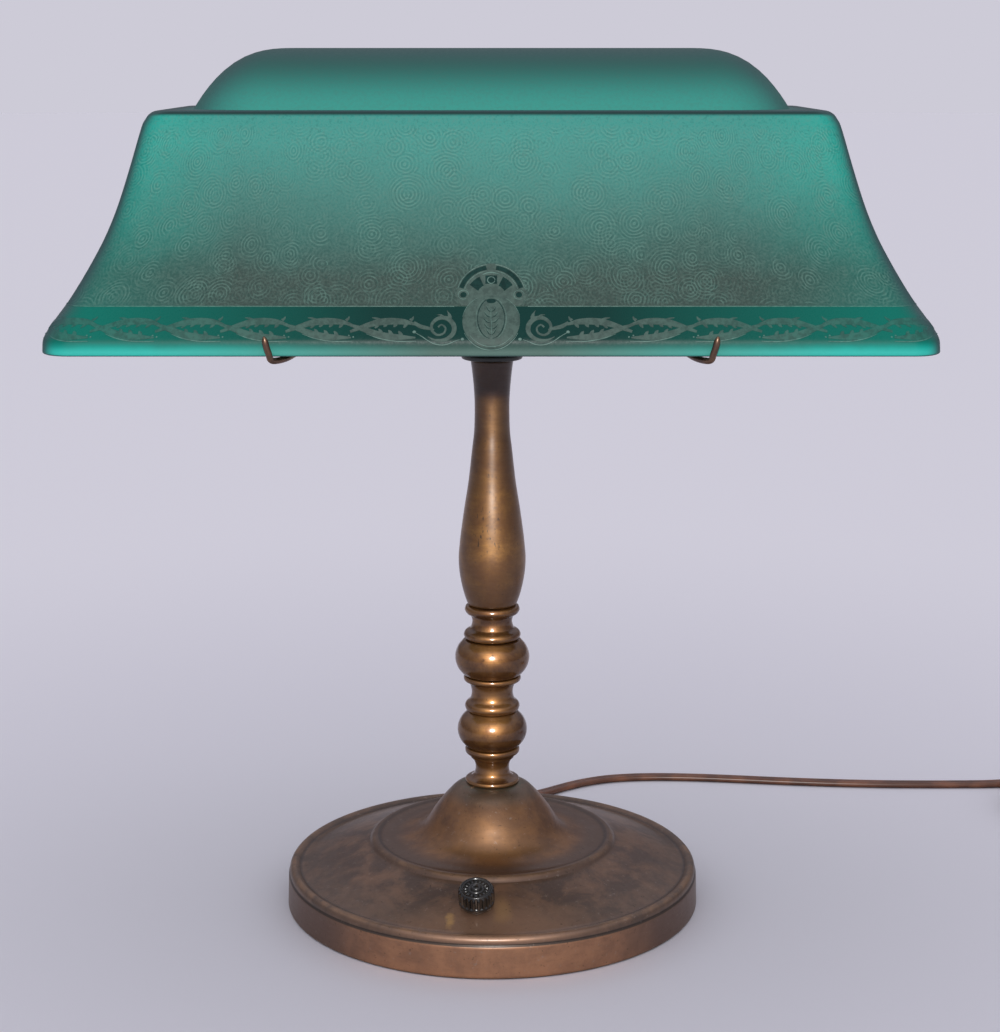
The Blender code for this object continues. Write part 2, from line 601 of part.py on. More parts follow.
def make_leads():
    inner = [skirt_point(r) for r in (BASE_R - 3.4, 60, 40, 22)]
    tube("supply_lead", smooth_line(inner, 9.0), 1.4, "rubber")
    under = [(-8.0, 4.0, 3.8), (-8.0, -6.0, 3.8), (-7.5, -20.0, 4.2), (-7.0, -34.0, 5.0), (-6.8, -54.0, 6.6)]
    tube("switch_lead", smooth_line(under, 9.0), 1.2, "rubber")
    tube("riser_leads", [(0, 0, z) for z in range(6, 262, 64)] + [(0, 0, HEAD_Z - 4)], 2.2, "rubber")
    for side in (-1, 1):
        run = [(side * x, 0, HEAD_Z) for x in (3.2, 16, 30)]
        tube(f"{side_name(side)}_socket_lead", run, 2.2, "rubber")


# ---------------------------------------------------------------- assembly


clear_scene()
LAMP = new_collection("banker_desk_lamp")
CUTTERS = new_collection("cutters")

shade_pivot = add_object("shade_pivot", None, None, place=frame_at(0, 0, HEAD_Z, (0, 0, 1)))
switch_pivot = add_object("switch_pivot", None, None, place=switch_frame())
bpy.context.view_layer.update()

make_base()
make_pipe()
make_column()
make_head()
for way in (-1, 1):
    make_socket(way)
    make_ring(way, shade_pivot)
    make_wire(way, shade_pivot)
make_shade(shade_pivot)
make_switch(switch_pivot)
make_cord()
make_leads()
bpy.context.view_layer.update()
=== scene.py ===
"""Banker desk lamp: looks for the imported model, its cord, the stage, the lights and the camera.

Lengths are millimetres until a mesh is made, and metres in the materials, the lights and the camera. The
frame is the part's own: +X along the shade, -Y the front.
"""

import math
from collections import Counter

import bmesh
import bpy
import numpy as np
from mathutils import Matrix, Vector


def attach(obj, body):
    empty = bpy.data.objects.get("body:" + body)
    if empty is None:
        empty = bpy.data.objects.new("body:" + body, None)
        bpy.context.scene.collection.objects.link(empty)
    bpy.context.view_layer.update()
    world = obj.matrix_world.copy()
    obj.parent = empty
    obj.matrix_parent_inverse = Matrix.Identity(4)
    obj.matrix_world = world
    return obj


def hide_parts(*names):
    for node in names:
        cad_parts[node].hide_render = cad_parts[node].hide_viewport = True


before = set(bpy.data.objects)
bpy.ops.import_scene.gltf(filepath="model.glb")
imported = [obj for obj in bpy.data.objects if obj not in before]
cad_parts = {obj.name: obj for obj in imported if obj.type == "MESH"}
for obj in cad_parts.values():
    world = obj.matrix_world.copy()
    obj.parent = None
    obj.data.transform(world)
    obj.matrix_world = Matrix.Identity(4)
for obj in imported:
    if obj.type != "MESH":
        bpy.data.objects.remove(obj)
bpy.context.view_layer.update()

MM = 0.001
LAMP, HOLDER, SWITCH = "lamp", "shade_holder", "switch"
HEAD_Z = 264.0


# ---- small helpers


def linear(*srgb):
    """An 8 bit sRGB colour as the linear RGB that shaders take."""
    return tuple(c / 255 / 12.92 if c <= 10 else ((c / 255 + 0.055) / 1.055) ** 2.4 for c in srgb)


def smooth_line(points, spacing):
    """Points about spacing apart on the Catmull-Rom curve through the given points."""
    knots = [Vector(p) for p in points]
    knots = [2 * knots[0] - knots[1]] + knots + [2 * knots[-1] - knots[-2]]
    line = []
    for a, b, c, d in zip(knots, knots[1:], knots[2:], knots[3:]):
        square, cube = 2 * a - 5 * b + 4 * c - d, 3 * b - a - 3 * c + d
        steps = max(1, round((c - b).length / spacing))
        for t in (i / steps for i in range(steps)):
            line.append(b + 0.5 * ((c - a) * t + square * t**2 + cube * t**3))
    return line + [knots[-2]]


def headings(line):
    """The direction of a line of points at each of them."""
    return [(b - a).normalized() for a, b in zip(line[:1] + line, line[1:] + line[-1:])]


def bridge(first, second, count):
    """The quads between two closed rows of count points, given by the number of each row's first point."""
    return [(first + k, first + (k + 1) % count, second + (k + 1) % count, second + k) for k in range(count)]


def add_mesh(name, points, faces, material, body, sharp=50.0, spread=()):
    """A closed mesh from points in millimetres, riding on a body. spread has a UV place for each corner."""
    mesh = bpy.data.meshes.new(name)
    mesh.from_pydata([tuple(c * MM for c in p) for p in points], [], faces)
    if spread:
        for loop, spot in zip(mesh.uv_layers.new(name="spread").data, spread):
            loop.uv = spot
    work = bmesh.new()
    work.from_mesh(mesh)
    if spread:
        bmesh.ops.remove_doubles(work, verts=work.verts, dist=0.000002)
        bmesh.ops.dissolve_degenerate(work, edges=work.edges, dist=0.000001)
    bmesh.ops.recalc_face_normals(work, faces=work.faces)
    work.to_mesh(mesh)
    work.free()
    mesh.validate()
    mesh.shade_smooth()
    mesh.set_sharp_from_angle(angle=math.radians(sharp))
    mesh.materials.append(material)
    piece = bpy.data.objects.new(name, mesh)
    scene.collection.objects.link(piece)
    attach(piece, body)
    return piece


# ---- camera

scene = bpy.context.scene
camera = bpy.data.objects.new("camera", bpy.data.cameras.new("camera"))
scene.collection.objects.link(camera)
camera.data.lens, camera.data.sensor_width = 74.79, 36.0
camera.data.clip_start, camera.data.clip_end = 0.01, 60.0
camera.location = (0.0032, -0.8535, 0.3452)
camera.rotation_euler = (math.radians(90.0 - 12.0), 0.0, 0.0)
scene.camera = camera


# ---- material helpers


def put(socket, value):
    """Links a socket to the output of a node, or sets its value."""
    value = getattr(value, "socket", value)
    if isinstance(value, bpy.types.NodeSocket):
        socket.id_data.links.new(value, socket)
    elif socket.type == "RGBA":
        socket.default_value = (*value, 1.0)
    else:
        socket.default_value = value


class Value:
    """A number that nodes work out, with arithmetic."""

    def __init__(self, nodes, socket):
        self.nodes, self.socket = nodes, socket

    def math(self, operation, other=0.0):
        return Value(self.nodes, self.nodes.node("Math", {0: self, 1: other}, operation=operation).outputs[0])

    def __add__(self, other):
        return self.math("ADD", other)

    def __sub__(self, other):
        return self.math("SUBTRACT", other)

    def __mul__(self, other):
        return self.math("MULTIPLY", other)

    def hypot(self, other):
        return (self * self + other * other).math("SQRT")

    def span(self, low, high, to_low=0.0, to_high=1.0, smooth=True):
        """Goes from to_low to to_high while this value goes from low to high."""
        ends = {"Value": self, "From Min": low, "From Max": high, "To Min": to_low, "To Max": to_high}
        kind = "SMOOTHSTEP" if smooth else "LINEAR"
        return Value(self.nodes, self.nodes.node("MapRange", ends, interpolation_type=kind).outputs["Result"])

    def window(self, start, full, fading, stop):
        """1 between full and fading, easing to 0 at start and at stop."""
        return self.span(start, full) * self.span(stop, fading)


class Nodes:
    """Short calls for the nodes of a tree."""

    def __init__(self, tree):
        self.tree = tree

    def node(self, kind, inputs=None, **settings):
        made = self.tree.nodes.new("ShaderNode" + kind)
        for key, value in settings.items():
            setattr(made, key, value)
        for key, value in (inputs or {}).items():
            put(made.inputs[key], value)
        return made

    def where(self):
        """The place in the world, since the origins of the rebuilt pieces are at zero."""
        return self.node("TexCoord").outputs["Object"]

    def axes(self, vector=None):
        parts = self.node("SeparateXYZ", {"Vector": vector or self.where()}).outputs
        return [Value(self, part) for part in parts]

    def scaled(self, scale, turn=(0.0, 0.0, 0.0)):
        """The place after a turn and a scale for each axis, which draws out the marks made from it."""
        return self.node("Mapping", {"Vector": self.where(), "Rotation": turn, "Scale": scale}).outputs[0]

    def noise(self, scale, detail=4.0, vector=None, roughness=0.5, distortion=0.0):
        inputs = {"Vector": vector or self.where(), "Scale": scale, "Detail": detail}
        inputs.update({"Roughness": roughness, "Distortion": distortion})
        return Value(self, self.node("TexNoise", inputs).outputs["Fac"])

    def mix(self, factor, a, b, blend="MIX"):
        return self.node("Mix", {0: factor, 6: a, 7: b}, data_type="RGBA", blend_type=blend).outputs[2]

    def over(self, colour, *layers):
        """The colour under layers, each of them an amount and a tone."""
        for amount, tone in layers:
            colour = self.mix(amount, colour, tone)
        return colour

    def bump(self, height, strength, distance):
        return self.node("Bump", {"Height": height, "Strength": strength, "Distance": distance}).outputs[0]


class Paint(Nodes):
    """A material made round one Principled shader."""

    def __init__(self, name, **sockets):
        self.material = bpy.data.materials.new(name)
        self.material.use_nodes = True
        super().__init__(self.material.node_tree)
        self.shader = self.tree.nodes["Principled BSDF"]
        self.set(**sockets)

    def set(self, **sockets):
        """Sets the shader's sockets, base_color for Base Color and so on."""
        for key, value in sockets.items():
            put(self.shader.inputs[key.replace("_", " ").title().replace("Ior", "IOR")], value)


# ---- brass

DARK_BRONZE, MID_BRONZE, GOLD = (0.090, 0.039, 0.011), (0.150, 0.071, 0.017), (0.36, 0.18, 0.045)
DARK_BEAD, MID_BEAD = (0.070, 0.029, 0.011), (0.170, 0.080, 0.026)
PLATE, BELL, SKIRT_FRONT_REFLECTION = (0.185, 0.101, 0.060), (0.205, 0.094, 0.033), (0.36, 0.178, 0.094)
EDGE_TINT, FLECK, GRIME = (0.45, 0.33, 0.24), (0.02, 0.014, 0.010), (0.012, 0.009, 0.007)


def turned_metal(name, dark, mid, gold, rough, axis="Z", coat=1.0, lacquer=0.36, metal=1.0, regions=None):
    """Old turned brass: brown patina in soft patches that lets gold through, tool marks round the axis,
    grime in the grooves, rubbed edges and a thin lacquer. regions repaints parts of it by place."""
    paint = Paint(name, metallic=metal, coat_roughness=lacquer, specular_tint=EDGE_TINT)
    x, y, z = paint.axes()
    upright = axis == "Z"
    along, radius = (z, x.hypot(y)) if upright else (x, y.hypot(z - HEAD_Z * MM))
    rings = paint.node("CombineXYZ", {"X": radius, "Y": along}).outputs["Vector"]
    drawn_out = paint.scaled((0.22, 0.22, 1.0) if upright else (1.0, 0.22, 0.22))
    marks = paint.noise(2600.0, 2.0, rings)
    streaks = paint.noise(900.0, 4.0, drawn_out, 0.7)
    islands = paint.noise(260.0, 5.0, drawn_out, 0.7)
    patches = paint.noise(60.0, 6.0, roughness=0.68, distortion=0.3)
    flecks = paint.noise(520.0, 3.0, roughness=0.75)
    bare = islands.span(0.46, 0.66) * patches.span(0.34, 0.58)
    colour = paint.over(dark, (patches.span(0.36, 0.64), mid), (bare * 0.14, gold))
    if regions:
        colour = regions(paint, colour, radius, patches, flecks)
    edge = Value(paint, paint.node("NewGeometry").outputs["Pointiness"])
    colour = paint.over(
        colour,
        (streaks.span(0.52, 0.74, 0.0, 0.2), dark),
        (flecks.span(0.63, 0.72, 0.0, 0.6), FLECK),
        (edge.span(0.52, 0.60) * patches.span(0.3, 0.6, 0.35, 1.0) * 0.6, gold),
        (edge.span(0.42, 0.488, 1.0, 0.0) * 0.85, GRIME),
    )
    gloss = patches.span(0.3, 0.7, rough + 0.06, rough - 0.05) + flecks.span(0.55, 0.75, 0.0, 0.12)
    relief = marks * 0.5 + flecks * 0.6 + streaks * 0.5
    paint.set(base_color=colour, roughness=gloss, normal=paint.bump(relief, 0.10, 0.0004))
    paint.set(coat_weight=streaks.span(0.35, 0.6, 1.0, 0.88) * coat)
    return paint.material


def column_regions(paint, colour, radius, patches, flecks):
    """Short dark nicks on the left of the column's swelling, painted shade up the column towards the shade
    with a painted shadow edge near its top, and a darker lower end.
    """
    x, _, z = paint.axes()
    spot = z.window(0.150, 0.154, 0.168, 0.172) * x.window(-0.008, -0.006, 0.002, 0.004)
    nicks = paint.noise(1100.0, 1.0, paint.scaled((1.0, 0.3, 0.32), (0.0, 0.6, 0.0)))
    return paint.over(
        colour,
        (nicks.span(0.66, 0.70) * spot * 0.9, (0.01, 0.008, 0.006)),
        # painted shade: darker up the swelling towards the shade above
        (z.span(0.158, 0.200, 0.0, 0.55), (0.030, 0.012, 0.006)),
        (z.span(0.146, 0.134, 0.0, 0.35), (0.060, 0.028, 0.016)),
        # painted shadow of the shade's lip, with a sharp edge near the column's top
        (z.span(0.2125, 0.2150, 0.0, 0.7), (0.035, 0.015, 0.010)),
    )


def base_regions(paint, colour, radius, patches, flecks):
    """The dull plate, greyed by dust and a painted sheen, the warmer bell, the coppery skirt with a painted
    reflection in front, painted highlights on the bell's front and beside the knob, and where the base is
    worn or stained.
    """
    x, y, z = paint.axes()
    mottle = patches.span(0.38, 0.62)
    # greyer towards the plate's outer edge and towards the bell: dust and a painted sheen
    dust_and_sheen = radius.span(0.060, 0.078, 0.0, 0.4) + radius.span(0.046, 0.038, 0.0, 0.5)
    plate = paint.over((0.080, 0.047, 0.033), (mottle, PLATE), (dust_and_sheen, (0.105, 0.080, 0.064)))
    bell = paint.over(
        (0.120, 0.055, 0.024),
        (mottle, BELL),
        (radius.span(0.034, 0.042), (0.098, 0.056, 0.036)),
        (z.span(0.0435, 0.0485, 0.0, 0.6), (0.10, 0.085, 0.070)),
    )
    # the skirt: a painted reflection of the floor, bright and coppery in front, darker behind
    skirt = paint.mix(patches.span(0.34, 0.62), (0.24, 0.120, 0.068), SKIRT_FRONT_REFLECTION)
    skirt = paint.mix(y.span(-0.078, -0.052), skirt, (0.125, 0.072, 0.052))
    area = paint.over(bell, (radius.span(0.0505, 0.0530), plate), (z.span(0.0134, 0.0126), skirt))
    # painted highlights: yellow on the front of the bell, and on the plate beside the knob
    front = y.span(-0.014, -0.030) * z.span(0.0265, 0.032)
    beside = x.math("ABSOLUTE").span(0.060, 0.010) * y.span(-0.058, -0.072) * z.span(0.0138, 0.0145)
    area = paint.over(area, (front * 0.40, (0.34, 0.180, 0.078)), (beside * 0.7, (0.30, 0.170, 0.105)))
    for mark_x, mark_y, reach, amount in ((-0.0160, -0.0722, 0.0026, 0.6), (0.0040, -0.0660, 0.0050, 0.25)):
        gap = (x - mark_x).hypot((y - mark_y) * 0.5) + (patches - 0.5) * 0.009
        area = paint.mix(gap.span(reach, reach * 0.3, 0.0, amount), area, (0.60, 0.36, 0.13))
    # the raised step and the rim bead are worn along their tops, and grime lies in the grooves
    tops = [radius.window(0.0488, 0.0494, 0.0502, 0.0510), radius.window(0.0820, 0.0826, 0.0840, 0.0846)]
    dips = [radius.window(0.0795, 0.0803, 0.0807, 0.0813), radius.window(0.0460, 0.0472, 0.0478, 0.0484)]
    groove = z.window(0.0127, 0.0131, 0.0137, 0.0141) * radius.span(0.0838, 0.0842)
    return paint.over(
        area,
        (tops[0].math("MAXIMUM", tops[1]) * patches.span(0.40, 0.62, 0.0, 0.25), (0.40, 0.22, 0.10)),
        (dips[0].math("MAXIMUM", dips[1]) * 0.6, (0.03, 0.022, 0.018)),
        (groove * 0.8, FLECK),
        # dust and verdigris round the foot of the stem, and pale specks
        (radius.span(0.0150, 0.0118) * flecks.span(0.35, 0.6) * 0.7, (0.085, 0.095, 0.065)),
        (flecks.span(0.38, 0.30) * 0.4, (0.30, 0.24, 0.20)),
    )


BRASS = turned_metal("old_brass", DARK_BRONZE, MID_BRONZE, GOLD, 0.62, lacquer=0.30, regions=column_regions)
BEAD_BRASS = turned_metal("bead_brass", DARK_BEAD, MID_BEAD, GOLD, 0.54, lacquer=0.17)
HEAD_BRASS = turned_metal("head_brass", DARK_BEAD, MID_BEAD, GOLD, 0.54, "X")
SOCKET_TONES = (0.17, 0.105, 0.05), (0.40, 0.26, 0.11), (0.66, 0.44, 0.18)
RING_TONES = (0.008, 0.010, 0.010), (0.016, 0.022, 0.022), (0.05, 0.04, 0.03)
WIRE_TONES = (0.06, 0.028, 0.016), (0.15, 0.072, 0.036), (0.50, 0.27, 0.12)
SOCKET_BRASS = turned_metal("socket_brass", *SOCKET_TONES, 0.36, "X")
RING_BLACK = turned_metal("black_ring", *RING_TONES, 0.45)
WIRE_BROWN = turned_metal("wire_brass", *WIRE_TONES, 0.42, "X")
BASE_METAL = turned_metal(
    "spun_brass_base", (0.07, 0.046, 0.036), BELL, (0.44, 0.27, 0.13), 0.52,
    coat=0.75, lacquer=0.31, metal=0.82, regions=base_regions,
)


# ---- other plain materials


def two_tone(name, first, second, cloud, rough, grain, tones=(0.35, 0.68), **sockets):
    """A material that drifts between two tones and has a fine relief.

    cloud is the scale and detail of the drift, tones its range, rough the roughness of both tones, and grain
    the scale, detail, strength and distance of the relief.
    """
    paint = Paint(name, **sockets)
    drift = paint.noise(*cloud)
    scale, detail, strength, distance = grain
    paint.set(base_color=paint.mix(drift.span(*tones), first, second), roughness=drift.span(0.3, 0.7, *rough))
    paint.set(normal=paint.bump(paint.noise(scale, detail), strength, distance))
    return paint.material


STEEL = two_tone(
    "plain_steel", (0.252, 0.252, 0.24), (0.42, 0.42, 0.40), (70.0, 4.0), (0.44, 0.29),
    (900.0, 3.0, 0.08, 0.0003), tones=(0.35, 0.7), metallic=1.0,
)
BAKELITE = two_tone(
    "black_bakelite", (0.005, 0.005, 0.005), (0.013, 0.011, 0.009), (160.0, 4.0), (0.2, 0.34),
    (1500.0, 2.0, 0.05, 0.0002), tones=(0.4, 0.7), coat_weight=0.25, coat_roughness=0.12,
)
FIBRE = two_tone(
    "brown_fibre", (0.05, 0.028, 0.016), (0.10, 0.06, 0.035), (150.0, 5.0), (0.60, 0.70),
    (1500.0, 4.0, 0.2, 0.0003),
)
PORCELAIN = two_tone(
    "glazed_ceramic", (0.72, 0.70, 0.64), (0.60, 0.57, 0.50), (30.0, 5.0), (0.17, 0.27),
    (300.0, 4.0, 0.05, 0.0003),
)
IRON = two_tone(
    "cast_iron", (0.02, 0.02, 0.02), (0.05, 0.045, 0.04), (70.0, 5.0), (0.70, 0.80), (700.0, 4.0, 0.5, 0.001)
)
FELT = two_tone(
    "green_felt", (0.012, 0.05, 0.028), (0.03, 0.085, 0.05), (260.0, 5.0), (0.90, 1.0),
    (2600.0, 4.0, 0.8, 0.001),
)
BULB = two_tone(
    "frosted_bulb", (0.80, 0.80, 0.76), (0.88, 0.87, 0.83), (90.0, 3.0), (0.42, 0.42),
    (2500.0, 2.0, 0.05, 0.0002), tones=(0.0, 1.0, 0.0, 1.0, False), ior=1.5, transmission_weight=0.25,
)
CORD_BROWN = two_tone(  # slightly see-through insulation
    "brown_cord", (0.075, 0.028, 0.014), (0.15, 0.058, 0.028), (120.0, 4.0), (0.36, 0.36),
    (900.0, 2.0, 0.05, 0.0003), tones=(0.35, 0.7), ior=1.5,
    subsurface_weight=0.25, subsurface_scale=0.002, subsurface_radius=(1.0, 0.45, 0.25),
)


# ---- the cord

CORD_WIDE, CORD_THICK, WAIST = 5.4, 2.8, 0.62  # the waist is the share of the thickness left at the groove
CORD_TURN = math.radians(82)
BASE_R, BUSHING_OUT, GAP = 85.8, 2.4, 0.3
CORD_OUT_Z = 6.5
EXIT_R = BASE_R + BUSHING_OUT + GAP
COIL_X, COIL_Y, COIL_R, COIL_LIFT = 282.0, 106.0, 29.7, 1.0
CORD_ROUTE = [
    (EXIT_R * math.cos(CORD_TURN), EXIT_R * math.sin(CORD_TURN), CORD_OUT_Z),
    (13.7, 96.9, 6.2), (15.5, 106.2, 5.1), (18.6, 115.4, 3.5), (22.6, 122.0, 2.2), (28.6, 128.6, 1.5),
    (35.8, 134.6, 1.45), (44.4, 140.4, 1.45), (55.0, 145.2, 1.45), (67.0, 147.8, 1.45), (82.0, 148.6, 1.45),
    (100.0, 147.6, 1.45), (120.0, 145.2, 1.45), (142.0, 142.2, 1.45), (166.0, 139.6, 1.45),
    (190.0, 138.0, 1.45), (214.0, 137.6, 1.45), (238.0, 137.9, 1.5), (254.0, 138.3, 1.9),
]
TAIL_ROUTE = [(314.4, 88.2, 11.0), (314.5, 83.0, 10.6), (314.6, 78.0, 9.8), (314.6, 73.2, 9.4)]
TURNS, STEPS_A_TURN, STEP_OVER = 8, 48, 0.72  # the share of a turn after which the cord steps over


def coil_points():
    """The coil's turns, clockwise from above, from its back to its right-hand side.

    Each of the four layers has an outer and an inner turn, and late in each turn the cord steps across or up.
    """
    inner, outer = COIL_R - CORD_WIDE / 2, COIL_R + CORD_WIDE / 2
    stacked = [(outer, 0), (inner, 0), (inner, 1), (outer, 1), (outer, 2), (inner, 2), (inner, 3), (outer, 3)]
    points = []
    for i in range(1, STEPS_A_TURN * (TURNS - 1) + STEPS_A_TURN // 4 * 5 + 1):
        share = i / STEPS_A_TURN
        k = min(int(share), TURNS - 1)
        step = max(0.0, (share - k - STEP_OVER) / (1 - STEP_OVER)) if k + 1 < TURNS else 0.0
        step = step * step * (3 - 2 * step)
        r, layer = (a + (b - a) * step for a, b in zip(stacked[k], stacked[min(k + 1, TURNS - 1)]))
        turn = math.pi / 2 - math.tau * share
        z = COIL_LIFT + CORD_THICK / 2 + 0.05 + CORD_THICK * layer
        points.append((COIL_X + r * math.cos(turn), COIL_Y + r * math.sin(turn), z))
    return points


def twin_section(steps=9):
    """The flat twin cord's outline as (across, up): two round conductors with a groove between them."""
    r = CORD_THICK / 2
    offset = CORD_WIDE / 2 - r
    turns = [(-math.pi / 2 - 0.1) + (math.pi + 0.2) * i / (steps - 1) for i in range(steps)]
    ring = []
    for side in (1, -1):
        ring += [(side * (offset + r * math.cos(turn)), side * r * math.sin(turn)) for turn in turns]
        ring.append((0.0, side * WAIST * r))
    return ring


def tube(name, line, section, material, body, level=True, tip=(), sharp=50.0):
    """A closed tube along a line, with a cross-section of (across, up) points.

    A level section keeps its across horizontal, and another one turns as little as it can. tip scales the
    section at the first points from each end.
    """
    line = [Vector(p) for p in line]
    scales = [1.0] * len(line)
    for k, share in enumerate(tip):
        scales[k] = scales[-1 - k] = share
    points, faces, count, across = [], [], len(section), None
    for here, ahead, scale in zip(line, headings(line), scales):
        if level:
            across = ahead.cross(Vector((0, 0, 1)))
        else:
            across = ahead.orthogonal() if across is None else across - ahead * across.dot(ahead)
        across = across.normalized()
        over = across.cross(ahead).normalized()
        points += [here + (across * a + over * b) * scale for a, b in section]
    for i in range(len(line) - 1):
        faces += bridge(i * count, (i + 1) * count, count)
    middle, end = len(points), (len(line) - 1) * count
    points += [line[0], line[-1]]
    for k in range(count):
        j = (k + 1) % count
        faces += [(middle, j, k), (middle + 1, end + k, end + j)]
    return add_mesh(name, points, faces, material, body, sharp)


coil = coil_points()
lead_in = smooth_line(CORD_ROUTE + [coil[2], coil[6]], 3.0)
lead_in = [p for p in lead_in if p.x < coil[2][0] - 0.5]
cord_line = smooth_line(lead_in + coil[2:], 2.2)
cord_line += smooth_line([cord_line[-1]] + TAIL_ROUTE[1:], 2.0)[1:]
cord_length = sum((b - a).length for a, b in zip(cord_line, cord_line[1:]))
cord = tube("flat_cord", cord_line, twin_section(), CORD_BROWN, LAMP)
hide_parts("power_cord", "cord_coil", "plug_tail")


# ---- turned pieces


def cad_outline(node, origin, axis):
    """The (radius, height) outline of a turned CAD node, read along one line of facets, and if it loops."""
    origin, axis = Vector(origin), Vector(axis).normalized()
    side = axis.orthogonal().normalized()
    other = axis.cross(side)
    work = bmesh.new()
    work.from_mesh(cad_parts[node].data)
    bmesh.ops.remove_doubles(work, verts=work.verts, dist=0.00001)
    spots = {}
    for v in work.verts:
        p = v.co / MM - origin
        a, b = p.dot(side), p.dot(other)
        r = math.hypot(a, b)
        turn = None if r < 0.02 else round(math.degrees(math.atan2(b, a)) % 360 * 4) % 1440
        spots[v.index] = (turn, (round(r, 3), round(p.dot(axis), 3)))
    counts = Counter(turn for turn, _ in spots.values() if turn is not None)
    usual = Counter(counts.values()).most_common(1)[0][0]
    chosen = min(turn for turn, count in counts.items() if count == usual)
    keep = {i: spot for i, (turn, spot) in spots.items() if turn in (chosen, None)}
    links = {i: set() for i in keep}

    def join(a, b):
        links[a].add(b)
        links[b].add(a)

    for e in work.edges:
        a, b = (v.index for v in e.verts)
        if a in keep and b in keep:
            join(a, b)
    work.free()
    ends = [i for i in links if len(links[i]) == 1]
    while len(ends) > 2:
        a = ends.pop()
        b = min(ends, key=lambda i: abs(keep[i][1] - keep[a][1]) * 50 + abs(keep[i][0] - keep[a][0]))
        ends.remove(b)
        join(a, b)
    path = [ends[0] if ends else next(i for i in links if links[i])]
    while ahead := [i for i in links[path[-1]] if i not in path]:
        path.append(ahead[0])
    outline = [keep[i] for i in path]
    (first_r, first_h), (last_r, last_h) = outline[0], outline[-1]
    if not ends or (min(first_r, last_r) > 0.02 and abs(first_h - last_h) < 0.01):
        return outline, True
    start = [(0.0, first_h)] if first_r > 0.02 else []
    stop = [(0.0, last_h)] if last_r > 0.02 else []
    return start + outline + stop, False


EASE, CORNER, SPACING = 0.25, 34.0, 0.8  # round of a corner, degrees that make a corner, and length of a step


def refined(outline, loop):
    """The outline as a smooth line, with a small round at each real corner."""
    points = [Vector(p) for p in outline]
    count = len(points)

    def corner(i):
        if not loop and i in (0, count - 1):
            return True
        a, b = points[i] - points[i - 1], points[(i + 1) % count] - points[i]
        return math.degrees(a.angle(b, 0.0)) > CORNER

    sharp = [corner(i) for i in range(count)]
    line = []
    for i in range(count if loop else count - 1):
        after = (i + 1) % count
        b, c = points[i], points[after]
        a = b + (b - c) if sharp[i] else points[i - 1]
        d = c + (c - b) if sharp[after] else points[(i + 2) % count]
        length = (c - b).length
        start, stop = 0.0, 1.0
        if sharp[i] and (loop or i > 0):
            start = min(EASE / length, 0.3)
        if sharp[after] and (loop or i + 2 < count):
            stop = 1.0 - min(EASE / length, 0.3)
        straight = sharp[i] and sharp[after] and length < 6
        steps = 1 if straight else max(1, min(14, round(length / SPACING)))
        # chord-length Catmull-Rom, which keeps uneven spacing from overshooting
        t0, t2 = max((b - a).length / length, 0.05), max((d - c).length / length, 0.05)
        m1 = c - b if sharp[i] else ((b - a) / t0 + (c - b) * t0) / (t0 + 1)
        m2 = c - b if sharp[after] else ((c - b) * t2 + (d - c) / t2) / (t2 + 1)
        for k in range(steps + 1):
            t = start + (stop - start) * k / steps
            u = 1 - t
            p = b * (u * u * (1 + 2 * t)) + m1 * (t * u * u) + c * (t * t * (3 - 2 * t)) - m2 * (t * t * u)
            if not line or (p - line[-1]).length > 0.01:
                line.append(p)
    if loop and (line[0] - line[-1]).length < 0.01:
        line.pop()
    return [(max(0.0, p.x), p.y) for p in line]


def round_axis(origin, axis):
    """A function from (radius, angle, height) about an axis to a point."""
    turn = Vector((0, 0, 1)).rotation_difference(Vector(axis)).to_matrix()
    return lambda r, a, h: Vector(origin) + turn @ Vector((r * math.cos(a), r * math.sin(a), h))


def spun(name, outline, loop, material, body, origin=(0, 0, 0), axis=(0, 0, 1), steps=128, replaces=()):
    """A smooth turned piece from (radius, height) points."""
    place = round_axis(origin, axis)
    points, rows = [], []
    for r, h in outline:
        pole = r < 0.01
        rows.append([len(points)] * steps if pole else list(range(len(points), len(points) + steps)))
        points += [place(0.0 if pole else r, math.tau * k / steps, h) for k in range(1 if pole else steps)]
    faces = []
    for low, high in zip(rows, rows[1:] + ([rows[0]] if loop else [])):
        for k in range(steps):
            j = (k + 1) % steps
            face = list(dict.fromkeys((low[k], low[j], high[j], high[k])))
            if len(face) > 2:
                faces.append(face)
    piece = add_mesh(name, points, faces, material, body)
    if replaces:
        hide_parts(*replaces)
    return piece


def respun(node, material, origin=(0, 0, 0), axis=(0, 0, 1), body=LAMP, steps=128):
    outline, loop = cad_outline(node, origin, axis)
    line = refined(outline, loop)
    return spun(node + "_turned", line, loop, material, body, origin, axis, steps, (node,))


COLUMN = [respun("vase_column", BRASS)]
for node in ("stem_foot", "lower_bead", "middle_neck", "upper_bead", "upper_neck"):
    COLUMN.append(respun(node, BEAD_BRASS))
respun("check_ring", RING_BLACK)
respun("head_finial", BRASS, (0, 0, HEAD_Z + 14.0), steps=64)
respun("base_shell", BASE_METAL, steps=220)
respun("base_felt", FELT, steps=160)
for side, word in ((-1, "left"), (1, "right")):
    for part, material, slot, steps in (
        ("socket_cap", SOCKET_BRASS, "brass", 96),
        ("socket_shell", SOCKET_BRASS, "brass", 96),
        ("socket_liner", FIBRE, "fibre", 72),
        ("screw_shell", SOCKET_BRASS, "brass", 72),
        ("bulb_base", STEEL, "brass", 72),
        ("bulb_glass", BULB, "bulb_glass", 96),
        ("nipple", STEEL, "steel", 48),
        ("socket_core", PORCELAIN, "porcelain", 72),
    ):
        respun(f"{word}_{part}", material, (0, 0, HEAD_Z), (side, 0, 0), steps=steps)


# ---- the glass shade

